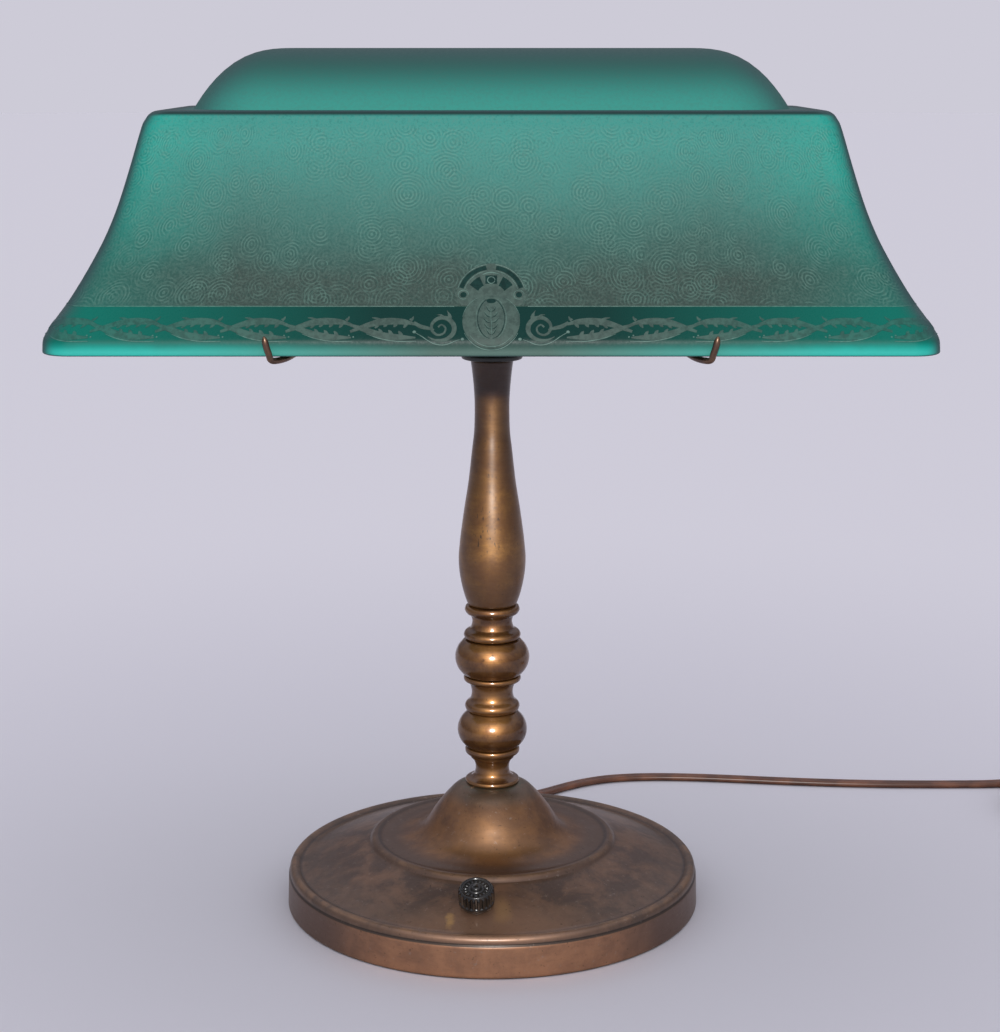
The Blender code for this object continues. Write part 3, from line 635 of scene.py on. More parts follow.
GLASS = 3.2
SHADE_LOW, LIP_Z, SHOULDER_Z, LEDGE_Z = 240.3, 241.2, 324.0, 327.0
LOW_LONG, LOW_DEEP, LOW_CORNER = 164.2, 84.0, 11.0
TOP_LONG, TOP_DEEP, TOP_CORNER = 129.2, 50.0, 8.0
DOME_LONG, DOME_DEEP, DOME_CORNER, DOME_RISE, DOME_POWER = 114.9, 40.0, 30.0, 22.9, 2.8
END_ROUND, TOP_ROUND, LIP_ROUND = 5.5, 3.0, 0.9
WALL_TOP, FINE_TOP = 322.6, 262.0  # where the rounding over the wall starts, and how far up rings are close
INSIDE_LOW, INSIDE_TOP = 242.2, 321.5
LINE_Z = 257.8  # the line over the ornamental band
FLARE = [
    (241.2, 1.0), (245.0, 0.992), (249.2, 0.938), (253.3, 0.858), (258.3, 0.757), (265.0, 0.64),
    (272.4, 0.523), (280.0, 0.413), (287.0, 0.328), (294.0, 0.256), (307.0, 0.142), (318.0, 0.052),
    (324.0, 0.0),
]


def eased(knots):
    """A smooth function through knots that doesn't overshoot between them."""
    xs, ys = np.array(knots).T
    steps = np.diff(ys) / np.diff(xs)
    slopes = np.concatenate([[steps[0]], 2 * steps[:-1] * steps[1:] / (steps[:-1] + steps[1:]), [steps[-1]]])

    def value(x):
        x = min(max(x, xs[0]), xs[-1])
        i = min(int(np.searchsorted(xs, x, "right")) - 1, len(xs) - 2)
        wide = xs[i + 1] - xs[i]
        t = (x - xs[i]) / wide
        a = ys[i] * (1 + 2 * t) + slopes[i] * wide * t
        b = ys[i + 1] * (3 - 2 * t) - slopes[i + 1] * wide * (1 - t)
        return a * (1 - t) ** 2 + b * t**2

    return value


flare = eased(FLARE)


def sizes(z, inset=0.0):
    """Half length, half depth and corner radius of the wall at a height."""
    f = flare(z)
    return (
        TOP_LONG + (LOW_LONG - TOP_LONG) * f - inset,
        TOP_DEEP + (LOW_DEEP - TOP_DEEP) * f - inset,
        TOP_CORNER + (LOW_CORNER - TOP_CORNER) * f - inset,
    )


BAND_LONG, BAND_DEEP, ROUND = sizes(251.0)
FLAT_X, FLAT_Y = BAND_LONG - ROUND, BAND_DEEP - ROUND
ARC = ROUND * math.pi / 2
AROUND = 4 * (FLAT_X + FLAT_Y) + 4 * ARC
EVEN = 70.0  # along the front, s is X itself up to here, and stretches beyond it


def plan(s, long, deep, corner):
    """(x, y) at s millimetres round a rounded rectangle, from the middle of its front towards +X."""
    s = (s + AROUND / 2) % AROUND - AROUND / 2
    side, t = (1, s) if s >= 0 else (-1, -s)
    flat_x, flat_y = long - corner, deep - corner

    def stretched(t):
        even = min(EVEN, 0.6 * flat_x)
        return t if t <= even else even + (t - even) * (flat_x - even) / (FLAT_X - even)

    if t <= FLAT_X:
        return side * stretched(t), -deep
    t -= FLAT_X
    if t <= ARC:
        a = t / ROUND
        return side * (flat_x + corner * math.sin(a)), -flat_y - corner * math.cos(a)
    t -= ARC
    if t <= 2 * FLAT_Y:
        return side * long, (t - FLAT_Y) * flat_y / FLAT_Y
    t -= 2 * FLAT_Y
    if t <= ARC:
        a = t / ROUND
        return side * (flat_x + corner * math.cos(a)), flat_y + corner * math.sin(a)
    return side * stretched(max(0.0, FLAT_X - (t - ARC))), deep


# height against the distance up the slope from the line
LEVELS = np.linspace(LIP_Z, SHOULDER_Z, 300)
STRIDES = np.hypot(np.diff(LEVELS), np.diff([sizes(z)[1] for z in LEVELS]))
SLOPE = np.concatenate([[0.0], np.cumsum(STRIDES)])
SLOPE -= np.interp(LINE_Z, LEVELS, SLOPE)


def on_glass(s, h, lift=0.0):
    """The point of the outside wall at s round and h up the slope, raised by lift along its normal."""

    def at(s, z):
        return Vector((*plan(s, *sizes(z)), z))

    z = float(np.interp(h, SLOPE, LEVELS))
    if not lift:
        return at(s, z)
    around = at(s + 0.3, z) - at(s - 0.3, z)
    up = at(s, min(z + 0.3, SHOULDER_Z)) - at(s, max(z - 0.3, LIP_Z))
    return at(s, z) + around.cross(up).normalized() * lift


def end_drop(z):
    """How far the rounding over the two ends pulls the wall in at a height."""
    return END_ROUND - math.sqrt(END_ROUND**2 - max(0.0, z - LEDGE_Z + END_ROUND) ** 2)


def glass_rings():
    """Rings from the shade's inside ridge to its outside one, as (long, deep, corner, z, distance up)."""

    def dome(inset, share, base):
        deep = DOME_DEEP - inset
        d = share * deep
        z = base + DOME_RISE * (1 - (1 - share) ** DOME_POWER)
        return DOME_LONG - inset - d, deep - d, max(0.0, DOME_CORNER - inset - d), z

    shares = [1.0, 0.97, 0.92, 0.85, 0.77, 0.68, 0.6, 0.5, 0.4, 0.3, 0.22, 0.15, 0.09, 0.04, 0.0]
    rings = [(*dome(GLASS, share, LEDGE_Z - GLASS), 0.0) for share in shares]
    long, deep, corner = sizes(SHOULDER_Z)
    rings.append((long - 5.4, deep - 5.4, corner - 3.2, LEDGE_Z - GLASS, 0.0))
    rings += [(*sizes(z, GLASS), z, 0.0) for z in np.linspace(INSIDE_TOP, INSIDE_LOW, 34).tolist()]
    for turn in np.linspace(math.pi, 0.0, 11)[1:-1]:
        inset = GLASS / 2 * (1 - math.cos(turn))
        rings.append((*sizes(LIP_Z, inset), LIP_Z - LIP_ROUND * math.sin(turn), -0.0205))
    for z in np.linspace(LIP_Z, FINE_TOP, 27).tolist() + np.linspace(FINE_TOP, WALL_TOP, 40)[1:].tolist():
        wall_long, wall_deep, wall_corner = sizes(z)
        up = float(np.interp(z, LEVELS, SLOPE)) * MM
        rings.append((wall_long - end_drop(z), wall_deep, wall_corner, z, up))
    top = float(SLOPE[-1]) * MM
    for turn in np.linspace(0.12, math.pi / 2, 8):
        inset = 0.15 + TOP_ROUND * (1 - math.cos(turn))
        level = LEDGE_Z - (TOP_ROUND + 0.3) * (1 - math.sin(turn))
        cut_long = long - max(inset, end_drop(level))
        rings.append((cut_long, deep - inset, corner - 0.6 * inset, level, top + 0.002 * turn))
    ledge, dome_foot = (long - END_ROUND, deep - 3.15, corner - 1.9, LEDGE_Z), dome(0.0, 0.0, LEDGE_Z)
    for share in (0.35, 0.7, 0.9):
        blend = [a + (b - a) * share for a, b in zip(ledge, dome_foot)]
        rings.append((*blend, top + 0.004 + 0.008 * share))
    return rings + [(*dome(0.0, share, LEDGE_Z), 0.1 + 0.045 * share) for share in shares[::-1]]


def glass_columns():
    """Positions round the shade, starting in the middle of its front."""
    corner, side = (ARC, 16), (2 * FLAT_Y, 26)
    stretches = [(FLAT_X, 44), corner, side, corner, (2 * FLAT_X, 88), corner, side, corner, (FLAT_X, 44)]
    s, columns = 0.0, []
    for length, steps in stretches:
        columns += [s + length * k / steps for k in range(steps)]
        s += length
    return columns


def make_glass(material):
    rings, columns = glass_rings(), glass_columns()
    count = len(columns)
    points = [(*plan(s, long, deep, corner), z) for long, deep, corner, z, _ in rings for s in columns]
    faces, spread = [], []
    for i in range(len(rings) - 1):
        faces += bridge(i * count, (i + 1) * count, count)
        low, high = rings[i][4], rings[i + 1][4]
        for start, end in zip(columns, columns[1:] + [AROUND]):
            spread += [(start * MM, low), (end * MM, low), (end * MM, high), (start * MM, high)]
    glass = add_mesh("glass_shade_satin", points, faces, material, HOLDER, 55.0, spread)
    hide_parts("glass_shade")


# painted light and shade of the walls: lit green at the top and ends, shaded grey in the lower middle
TOP_GREEN, LIT_END_GREEN = linear(70, 164, 154), linear(34, 190, 174)
SHADED_LOW_GREY, SHADED_LOW_GREEN = linear(70, 78, 73), linear(50, 116, 106)
TONE, SLATE = (0.43, 0.55, 0.535), linear(42, 68, 70)
RING_LAYERS = ((74.0, 66.0, 0.0), (101.0, 45.0, 0.37))  # cells to a metre, radians of rings to a cell, shift


def cut_rings(paint, spread, up):
    """The lit and the dark sides of rings round scattered centres, in layers broken and faded in places."""
    wall = up.window(0.0, 0.002, 0.066, 0.070)
    sway = paint.node("TexNoise", {"Vector": spread, "Scale": 160.0}).outputs["Color"]
    terms = {0: sway, 1: (0.0012, 0.0012, 0.0), 2: spread}
    swayed = paint.node("VectorMath", terms, operation="MULTIPLY_ADD")
    broken = paint.noise(330.0, 2.0).span(0.36, 0.60, 0.4, 1.0)
    ridges, valleys = [], []
    for scale, turns, shift in RING_LAYERS:
        moved = paint.node("VectorMath", {0: swayed.outputs[0], 1: (shift, shift, 0.0)}, operation="ADD")
        inputs = {"Vector": moved.outputs[0], "Scale": scale, "Randomness": 1.0}
        cells = paint.node("TexVoronoi", inputs, voronoi_dimensions="2D", feature="F1")
        away = Value(paint, cells.outputs["Distance"])
        tint = paint.axes(cells.outputs["Color"])[0]
        depth = away.span(0.75, 0.30, 0.35, 1.0) * wall * tint.span(0.15, 0.9, 0.25, 1.0) * broken
        wave = (away * turns).math("SINE")
        ridges.append(wave.span(0.1, 1.0) * depth)
        valleys.append(wave.span(-0.1, -1.0) * depth)
    return ridges[0].math("MAXIMUM", ridges[1]), valleys[0].math("MAXIMUM", valleys[1])


def slate_edges(paint, colour, reach):
    """The colour as it looks in glass, turning to slate as painted shade where the glass turns away from the
    view.
    """
    facing = Value(paint, paint.node("LayerWeight", {"Blend": 0.34}).outputs["Facing"])
    return paint.mix(facing.span(0.10, 0.55) * reach, paint.mix(1.0, colour, TONE, "MULTIPLY"), SLATE)


def satin_glass():
    """Satin green glass, painted lighter green at its top and ends and grey low on its long sides as painted
    light and shade, with rings cut into the walls.
    """
    paint = Paint("satin_green_glass", ior=1.5, specular_ior_level=0.15)
    spread = paint.node("UVMap", uv_map="spread").outputs["UV"]
    up = paint.axes(spread)[1]
    x, _, z = paint.axes()
    beside = x.math("ABSOLUTE")
    cloud = paint.noise(26.0, 5.0, roughness=0.6)
    speckle = paint.noise(850.0, 3.0, roughness=0.8)
    drift = (cloud - 0.5) * 0.022

    # the walls: painted light and shade, green at the top and the ends, grey in the lower middle
    low = (z + drift).span(0.317, 0.267, smooth=False)
    ends = (beside + drift).span(0.088, 0.150)
    ridge, valley = cut_rings(paint, spread, up)
    field = paint.over(
        paint.mix(ends, TOP_GREEN, LIT_END_GREEN),
        (low, paint.mix(ends, SHADED_LOW_GREY, SHADED_LOW_GREEN)),
        (speckle.span(0.44, 0.66, 0.0, 0.34), linear(112, 134, 124)),
        (speckle.span(0.54, 0.28, 0.0, 0.4), linear(40, 88, 80)),
        (ridge * 0.34, linear(140, 172, 160)),
        (valley * 0.30, linear(34, 80, 74)),
    )

    # the dome and the ledge; the dome is painted darker towards its top as painted shade
    shaded_crown = paint.over(
        linear(74, 168, 156),
        (z.span(0.3270, 0.3470), linear(44, 104, 96)),
        (speckle.span(0.40, 0.68, 0.0, 0.2), linear(96, 116, 110)),
    )
    ledge = paint.mix(cloud.span(0.4, 0.6), linear(106, 100, 94), linear(84, 92, 86))
    high = paint.mix(up.span(0.0785, 0.0800, smooth=False), ledge, shaded_crown)
    # a painted shade line along the rounding of the shoulder
    colour = paint.over(field, (up.span(0.0722, 0.0732), linear(30, 56, 54)), (up.span(0.0745, 0.0756), high))

    # the band: clear dark glass, green at its ends, the paler lip, and a painted highlight low on the lip
    outer = beside.span(0.040, 0.145, smooth=False)
    wide = beside.span(0.020, 0.125, smooth=False)
    lip = paint.mix(wide, linear(70, 98, 90), linear(24, 186, 172))
    lip = paint.mix(cloud.span(0.42, 0.6, 0.0, 0.28), lip, linear(50, 104, 96))
    lip_highlight = paint.mix(wide, linear(107, 126, 119), linear(70, 206, 194))
    ground = paint.over(
        linear(4, 58, 53),
        (outer, linear(0, 120, 106)),
        (up.span(-0.0138, -0.0172), lip),
        (up.span(-0.0158, -0.0185), lip_highlight),
        (up.span(-0.0001, 0.0001, smooth=False), colour),
    )
    outside = up.math("ABSOLUTE").math("GREATER_THAN", 0.00001)
    colour = paint.mix(outside, linear(150, 190, 165), ground)

    band = up.window(-0.0160, -0.0125, -0.0004, 0.0)
    paint.set(base_color=slate_edges(paint, colour, outside * up.span(0.078, 0.084, 0.9, 0.62)))
    paint.set(roughness=speckle.span(0.3, 0.7, 0.46, 0.56) - band * 0.22)
    paint.set(normal=paint.bump(ridge * 0.8 + speckle * 0.45, 0.22, 0.0003))
    return paint.material


def etched(name, middle, end, rough):
    """Glass of the ornament: one colour in the middle of the long sides, another towards the ends."""
    paint = Paint(name, ior=1.5, specular_ior_level=0.2)
    cloud = paint.noise(420.0, 4.0, roughness=0.7)
    across = paint.axes()[0].math("ABSOLUTE")
    colour = paint.mix(across.span(0.050, 0.140, smooth=False), middle, end)
    dark = paint.mix(1.0, colour, (0.62, 0.66, 0.66), "MULTIPLY")
    colour = paint.mix(cloud.span(0.62, 0.36), colour, dark)
    paint.set(base_color=slate_edges(paint, colour, 0.9), roughness=cloud.span(0.3, 0.7, rough, rough + 0.12))
    paint.set(normal=paint.bump(cloud, 0.2, 0.0003))
    return paint.material


ETCHED = etched("etched_glass", linear(92, 106, 99), linear(52, 118, 106), 0.5)
PALE = etched("pale_glass_edge", linear(126, 146, 137), linear(96, 150, 138), 0.4)
CLEAR = etched("clear_green_glass", linear(4, 58, 53), linear(4, 96, 86), 0.24)

make_glass(satin_glass())


# ---- ornament on the glass

RELIEF, ROOT = 0.12, -0.08  # how far the shapes stand out, and how far their edges reach into the glass
VINE_START, MOTIFS = 27.5, 9
PERIOD = (AROUND / 4 - VINE_START) / MOTIFS


class Relief:
    """Raised shapes on the glass, drawn in (s, h) and made into one mesh."""

    def __init__(self, name, material, lift=RELIEF):
        self.name, self.material, self.lift = name, material, lift
        self.points, self.faces = [], []

    def add(self, spot, place, up):
        self.points.append(on_glass(*place(spot.x, spot.y), up))

    def stroke(self, line, widths, place, lift=None):
        """A ribbon along a smooth line, its width changing evenly between the given widths."""
        lift = self.lift if lift is None else lift
        path = smooth_line([(a, b, 0.0) for a, b in line], 0.9)
        wide = np.interp(np.linspace(0, 1, len(path)), np.linspace(0, 1, len(widths)), widths)
        start = len(self.points)
        for here, ahead, width in zip(path, headings(path), wide):
            across = Vector((-ahead.y, ahead.x, 0))
            half = max(width / 2, 0.06)
            ease = min(0.16, half * 0.5)
            for a, up in ((-half, ROOT), (-half + ease, lift), (half - ease, lift), (half, ROOT)):
                self.add(here + across * a, place, up)
        end = start + 4 * (len(path) - 1)
        for row in range(start, end, 4):
            self.faces += bridge(row, row + 4, 4)
        self.faces += [(start, start + 1, start + 2, start + 3), (end + 3, end + 2, end + 1, end)]

    def patch(self, outline, place, lift=None, ease=0.2):
        """A low raised shape with eased edges, in rings round its middle so that it follows the glass."""
        lift = self.lift if lift is None else lift
        outline = [Vector(p) for p in outline]
        start, count = len(self.points), len(outline)
        middle = sum(outline, Vector((0, 0))) / count
        far = max((p - middle).length for p in outline)
        rings = [(1.0, ROOT), (max(0.3, 1 - ease / far), lift)]
        if far > 1.5:
            rings += [(share, lift) for share in (0.8, 0.62, 0.44, 0.26, 0.08) if share < rings[-1][0] - 0.05]
        for share, up in rings:
            for p in outline:
                self.add(middle + (p - middle) * share, place, up)
        last = start + (len(rings) - 1) * count
        for row in range(start, last, count):
            self.faces += bridge(row, row + count, count)
        self.faces += [tuple(range(last, last + count)), tuple(range(start, start + count))[::-1]]

    def finish(self):
        add_mesh(self.name, self.points, self.faces, self.material, HOLDER, 30.0)


def arc_points(centre, rx, ry, start, stop, count=24):
    turns = (math.radians(start + (stop - start) * k / (count - 1)) for k in range(count))
    return [(centre[0] + rx * math.cos(t), centre[1] + ry * math.sin(t)) for t in turns]


def oval(centre, rx, ry, count=20):
    return arc_points(centre, rx, ry, 0, 360 * (count - 1) / count, count)


def draw_scroll(grey, pale, place):
    """The scroll beside the medallion, with its buds and the thin line under it."""
    scroll = [
        (22.9, -12.3), (20.0, -13.6), (16.4, -13.3), (13.7, -10.9), (13.6, -7.6), (15.9, -5.0), (19.1, -4.9),
        (21.4, -7.2), (21.3, -10.0), (19.3, -11.6), (17.0, -10.8), (16.5, -8.8), (18.0, -7.5), (19.2, -8.6),
    ]
    grey.stroke(scroll, [0.5, 1.3, 1.7, 2.0, 2.0, 1.7, 1.3, 1.1, 0.9, 0.9], place)
    grey.stroke([(15.4, -5.6), (15.0, -4.3), (15.5, -2.7), (16.1, -1.7)], [2.2, 1.9, 1.2, 0.2], place)
    grey.stroke([(16.6, -5.0), (18.2, -3.6), (19.6, -3.5)], [1.4, 1.0, 0.2], place)
    grey.stroke([(20.6, -9.6), (23.0, -8.9), (25.6, -8.2), (28.0, -6.6)], [0.8, 1.6, 1.8, 1.4], place)
    under = [(11.4, -13.4), (13.2, -14.0), (16.0, -15.1), (18.6, -15.3), (21.8, -14.4), (25.0, -12.2)]
    pale.stroke(under + [(27.6, -10.6)], [0.3, 0.5, 0.6, 0.6, 0.5, 0.5, 0.4], place)
    for centre in ((10.4, -13.2), (27.8, -10.4)):
        pale.patch(oval(centre, 0.75, 0.65, 12), place)


UPPER_LOBES = ((3.6, -7.5, 1.5, 1.6), (7.2, -7.2, 1.6, 1.7), (10.8, -7.3, 1.6, 1.5), (14.0, -8.1, 1.3, 1.0))
LOWER_LOBES = ((5.4, -11.3, 1.5, 1.5), (9.0, -11.0, 1.6, 1.6), (12.6, -10.3, 1.4, 1.3))


def draw_leaves(grey, pale, place):
    """One pair of leaves of the vine, with their lobes, thorns and dots."""
    upper = [(-0.6, -7.6), (3.0, -6.5), (8.0, -6.1), (13.0, -6.5), (17.5, -7.9), (PERIOD + 0.2, -10.3)]
    grey.stroke(upper, [0.9, 2.5, 3.0, 2.8, 2.1, 1.2], place)
    grey.stroke([(1.8, -5.8), (0.9, -5.0), (0.6, -4.2)], [1.5, 1.1, 0.5], place)
    grey.stroke([(12.5, -5.6), (14.2, -4.9), (15.6, -4.7)], [1.3, 1.0, 0.4], place)
    lower = [(-0.2, -12.6), (4.5, -12.5), (9.5, -12.2), (14.0, -11.2), (18.5, -9.4), (PERIOD + 1.2, -7.3)]
    grey.stroke(lower, [0.8, 2.2, 2.9, 2.7, 2.0, 1.0], place)
    under = [(-0.6, -14.0), (3.6, -14.1), (8.6, -13.8), (13.4, -12.8), (17.6, -11.2)]
    pale.stroke(under, [0.3, 0.5, 0.55, 0.5, 0.2], place)
    for side, lobes in ((-1, UPPER_LOBES), (1, LOWER_LOBES)):
        for a, b, wide, tall in lobes:
            rise = side * tall
            lobe = [(a - 0.4, b - side * 0.5), (a + 0.1, b + rise * 0.4), (a + 0.6, b + rise * 0.8)]
            grey.stroke(lobe, [wide + 0.3, wide * 0.9, 0.5], place)
    for a in (-1.0, 0.6):
        pale.patch(oval((a + PERIOD, -12.0 + 0.35 * a), 0.45, 0.4, 8), place)


def draw_arch(grey, pale, clear, place):
    """The arch over the medallion, with its two windows, panels, eyes and the key stone between them."""
    hub = (0.0, 4.2)
    grey.patch(arc_points(hub, 13.0, 12.9, -4, 184, 40) + [(-11.0, 0.2), (11.0, 0.2)], place, 0.07, 0.5)
    for side, start, stop in ((-1, 99, 164), (1, 16, 81)):
        clear.stroke(arc_points(hub, 11.3, 11.2, start, stop, 16), [1.9], place, 0.12)
        pale.stroke(arc_points(hub, 12.5, 12.4, start - 2, stop + 2, 18), [0.45], place)
        pale.stroke(arc_points(hub, 10.0, 9.9, start, stop, 16), [0.35], place)
        panel = arc_points(hub, 9.1, 8.6, *((30, 62) if side > 0 else (118, 150)), 8)
        panel += arc_points(hub, 5.2, 4.6, *((60, 24) if side > 0 else (156, 120)), 6)
        clear.patch(panel, place, 0.12, 0.12)
        clear.patch(oval((side * 10.1, 4.6), 1.25, 1.2, 16), place, 0.14, 0.12)
        pale.stroke(arc_points((side * 10.1, 4.6), 1.9, 1.8, 0, 300, 16), [0.4], place)
        grey.stroke([(side * 11.7, 3.5), (side * 12.8, 4.5), (side * 13.2, 6.3)], [1.6, 1.2, 0.2], place)
    clear.patch([(-2.2, 12.3), (-2.2, 8.9), (2.2, 8.9), (2.2, 12.3)], place, 0.11, 0.1)
    pale.stroke(arc_points((0.0, 10.4), 1.35, 1.3, 0, 350, 20), [0.55], place, 0.2)
    pale.stroke([(-3.1, 12.6), (-1.2, 13.3), (1.2, 13.3), (3.1, 12.6)], [0.5, 0.75, 0.75, 0.5], place, 0.18)


def draw_heart(grey, pale, clear, place):
    """The oval medallion with a spray of leaves on one stem."""
    middle, core = (0.0, -6.2), (0.0, -5.0)
    grey.patch(oval(middle, 10.6, 10.8, 48), place, 0.12, 0.4)
    pale.stroke(arc_points(middle, 10.7, 11.0, 205, 335, 36), [0.2, 0.6, 0.6, 0.2], place, 0.2)
    pale.stroke(arc_points(middle, 9.5, 9.7, 215, 325, 30), [0.2, 0.5, 0.5, 0.2], place, 0.2)
    for start, stop in ((10, 60), (120, 170)):
        pale.stroke(arc_points(middle, 10.5, 10.8, start, stop, 14), [0.2, 0.35, 0.2], place, 0.18)
    for outer, inner in (((96, 264), (112, 248)), ((84, -84), (68, -68))):
        clear.stroke(arc_points(core, 4.9, 8.0, *outer, 30), [0.3, 0.6, 0.35, 0.6, 0.3], place, 0.16)
        pale.stroke(arc_points(core, 5.5, 8.6, *inner, 24), [0.2, 0.3, 0.2], place, 0.17)
    clear.patch(oval((0.0, 2.1), 1.8, 0.95, 18), place, 0.18, 0.1)
    pale.stroke([(0.0, -12.0), (0.15, -8.0), (-0.1, -4.0), (0.0, 0.2)], [0.2, 0.35, 0.3, 0.15], place, 0.2)
    for side in (-1, 1):
        for b, reach in ((-11.0, 1.7), (-8.8, 2.5), (-6.4, 2.8), (-4.0, 2.5), (-1.8, 1.7)):
            leaf = [(0.0, b - 0.6), (side * reach * 0.55, b - 0.1), (side * reach, b + 1.5)]
            clear.stroke(leaf, [0.15, 0.5, 0.12], place, 0.17)
            pale.stroke([(a, h + 0.55) for a, h in leaf], [0.1, 0.22, 0.1], place, 0.19)


def make_ornament():
    """The vine in four mirrored quarters, a medallion on each long side, and the line over the band."""
    half = AROUND / 2
    front, back = lambda s, h: (s, h), lambda s, h: (half - s, h)
    grey, pale = Relief("vine_etched", ETCHED), Relief("vine_edges", PALE, 0.15)
    for place in (front, lambda s, h: (-s, h), back, lambda s, h: (half + s, h)):
        draw_scroll(grey, pale, place)
        for k in range(MOTIFS):
            left = VINE_START + PERIOD * k
            draw_leaves(grey, pale, lambda a, h, left=left, place=place: place(left + a, h))
    for word, place in (("front", front), ("back", back)):
        name = f"cartouche_{word}_"
        clear, plate = Relief(name + "clear", CLEAR), Relief(name + "etched", ETCHED)
        edges = Relief(name + "edges", PALE, 0.15)
        draw_arch(plate, edges, clear, place)
        draw_heart(plate, edges, clear, place)
        for part in (clear, plate, edges):
            part.finish()
    line = Relief("band_line", PALE, 0.14)
    first, last, piece = 13.4, half - 13.4, 9.0
    for a in np.arange(first, last, piece):
        stop = min(a + piece, last)
        for side in (-1, 1):
            line.stroke([(side * a, 0.0), (side * (a + stop) / 2, 0.0), (side * stop, 0.0)], [0.5], front)
    for part in (grey, pale, line):
        part.finish()


make_ornament()


# ---- lamp head and shade holder

OUTLET_X, SHELL_R = 18.0, 16.5
RING_X, RING_WIDE, RING_R, WIRE_R = 50.0, 9.0, 18.4, 1.2
WIRE_Z = HEAD_Z - RING_R - WIRE_R - 1.0
HOOK_X, HOOK_TIP_X, HOOK_TIP_Z = 79.5, 81.6, 248.2
HUB = [
    (0, 14.0), (7.0, 14.0), (11.0, 11.6), (14.6, 7.0), (16.0, 0.0), (14.6, -7.0), (11.0, -11.6), (8.6, -14.6),
    (8.0, -22.0), (9.4, -29.0), (10.4, -32.7), (0, -32.7),
]
half_arm = [(6.0, OUTLET_X), (8.4, OUTLET_X), (9.0, OUTLET_X - 0.6)]
arms = half_arm + [(r, -x) for r, x in half_arm[::-1]]
at_head = (0, 0, HEAD_Z)
hub = refined(HUB, False)
spun("head_hub_turned", hub, False, BRASS, LAMP, at_head, steps=96, replaces=("head_hub",))
spun("head_arms", arms, True, HEAD_BRASS, LAMP, at_head, (1, 0, 0), 96)


def wire_line(side):
    """The shade wire's line from its back hook to its front one."""
    under, face = SHADE_LOW - WIRE_R - GAP, -(LOW_DEEP + WIRE_R + GAP)
    front = [(side * RING_X, -6.0, WIRE_Z), (side * 53.0, -13.0, WIRE_Z), (side * 60.0, -33.0, WIRE_Z - 0.4)]
    front += [(side * 68.0, -57.0, WIRE_Z - 2.0), (side * 74.0, -74.0, under + 0.2)]
    front += [(side * 77.6, face + 3.0, under), (side * HOOK_X, face + 0.3, under + 0.7)]
    front += [(side * (HOOK_X + 0.6), face - 0.6, under + 3.0)]
    front += [(side * (HOOK_X + 1.4), face - 1.2, 244.6), (side * HOOK_TIP_X, face - 1.8, HOOK_TIP_Z)]
    return smooth_line([(x, -y, z) for x, y, z in front[::-1]] + front, 0.7)


def rounded_block(name, low, high, ease, material, body):
    """A block with rounded edges, between two corners."""
    work = bmesh.new()
    bmesh.ops.create_cube(work, size=1.0)
    for v in work.verts:
        v.co = Vector(((a + b) / 2 + c * (b - a) for a, b, c in zip(low, high, v.co)))
    bmesh.ops.bevel(work, geom=work.edges[:], offset=ease, segments=4, affect="EDGES", profile=0.5)
    points, faces = [v.co.copy() for v in work.verts], [[v.index for v in f.verts] for f in work.faces]
    work.free()
    add_mesh(name, points, faces, material, body)


half = RING_WIDE / 2
collar = [(RING_R - 0.5, half), (RING_R, half - 0.5), (RING_R - 0.25, half - 1.2)]
collar += [(r, -x) for r, x in collar[::-1]] + [(SHELL_R + GAP, -half), (SHELL_R + GAP, half)]
for side, word in ((-1, "left"), (1, "right")):
    x, ring, wire = side * RING_X, word + "_shade_ring", word + "_shade_wire"
    spun(ring + "_collar", collar, True, WIRE_BROWN, HOLDER, (x, 0, HEAD_Z), (1, 0, 0), 112, (ring,))
    low, high = (x - half + 0.4, -4.0, WIRE_Z - 2.6), (x + half - 0.4, 4.0, HEAD_Z - SHELL_R - 0.8)
    rounded_block(word + "_ring_lug", low, high, 0.7, WIRE_BROWN, HOLDER)
    respun(word + "_ring_screw", STEEL, (x, 0, WIRE_Z), (side, 0, 0), HOLDER, 48)
    section = oval((0.0, 0.0), WIRE_R, WIRE_R)
    bent = tube(
        wire + "_bent", wire_line(side), section, WIRE_BROWN, HOLDER, False, (0.25, 0.66, 0.9), 60.0
    )
    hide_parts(wire)


# ---- switch, plug and the rest

SWITCH_AT = (-5.8748, -63.3281, 21.551)
SWITCH_AXIS = (-0.0303806, -0.3274934, 0.9443649)
KNOB_RIBS, KNOB_DOTS, RIB_DEEP = 22, 16, 0.62
TOP_Z, DOT_HIGH = 8.22, 0.5
KNOB_SIDE = [  # radius, height and share of the ribs' depth
    (5.2, 1.5, 0), (6.5, 1.5, 0), (6.85, 1.65, 0), (7.05, 1.95, 0), (7.05, 2.75, 0), (6.9, 3.05, 0.2),
    (7.0, 3.25, 0.8), (7.05, 3.6, 1), (7.05, 5.5, 1), (7.05, 7.2, 1), (6.95, 7.6, 0.8), (6.75, 7.9, 0.4),
    (6.55, 8.15, 0.1), (6.35, 8.5, 0), (6.05, 8.72, 0), (5.7, 8.72, 0), (5.45, 8.5, 0), (5.3, 8.28, 0),
    (5.1, TOP_Z, 0),
]
KNOB_STUDS = [(4.85, 0.12), (4.6, 0.62), (4.3, 1.0), (4.0, 1.0), (3.7, 0.62), (3.45, 0.12)]
KNOB_BUTTON = [
    (3.2, TOP_Z), (3.0, 8.3), (2.85, 8.62), (2.6, 8.7), (2.35, 8.55), (2.2, 8.4), (1.95, 8.45), (1.7, 9.0),
    (1.3, 9.35), (0.7, 9.5), (0.15, 9.53),
]


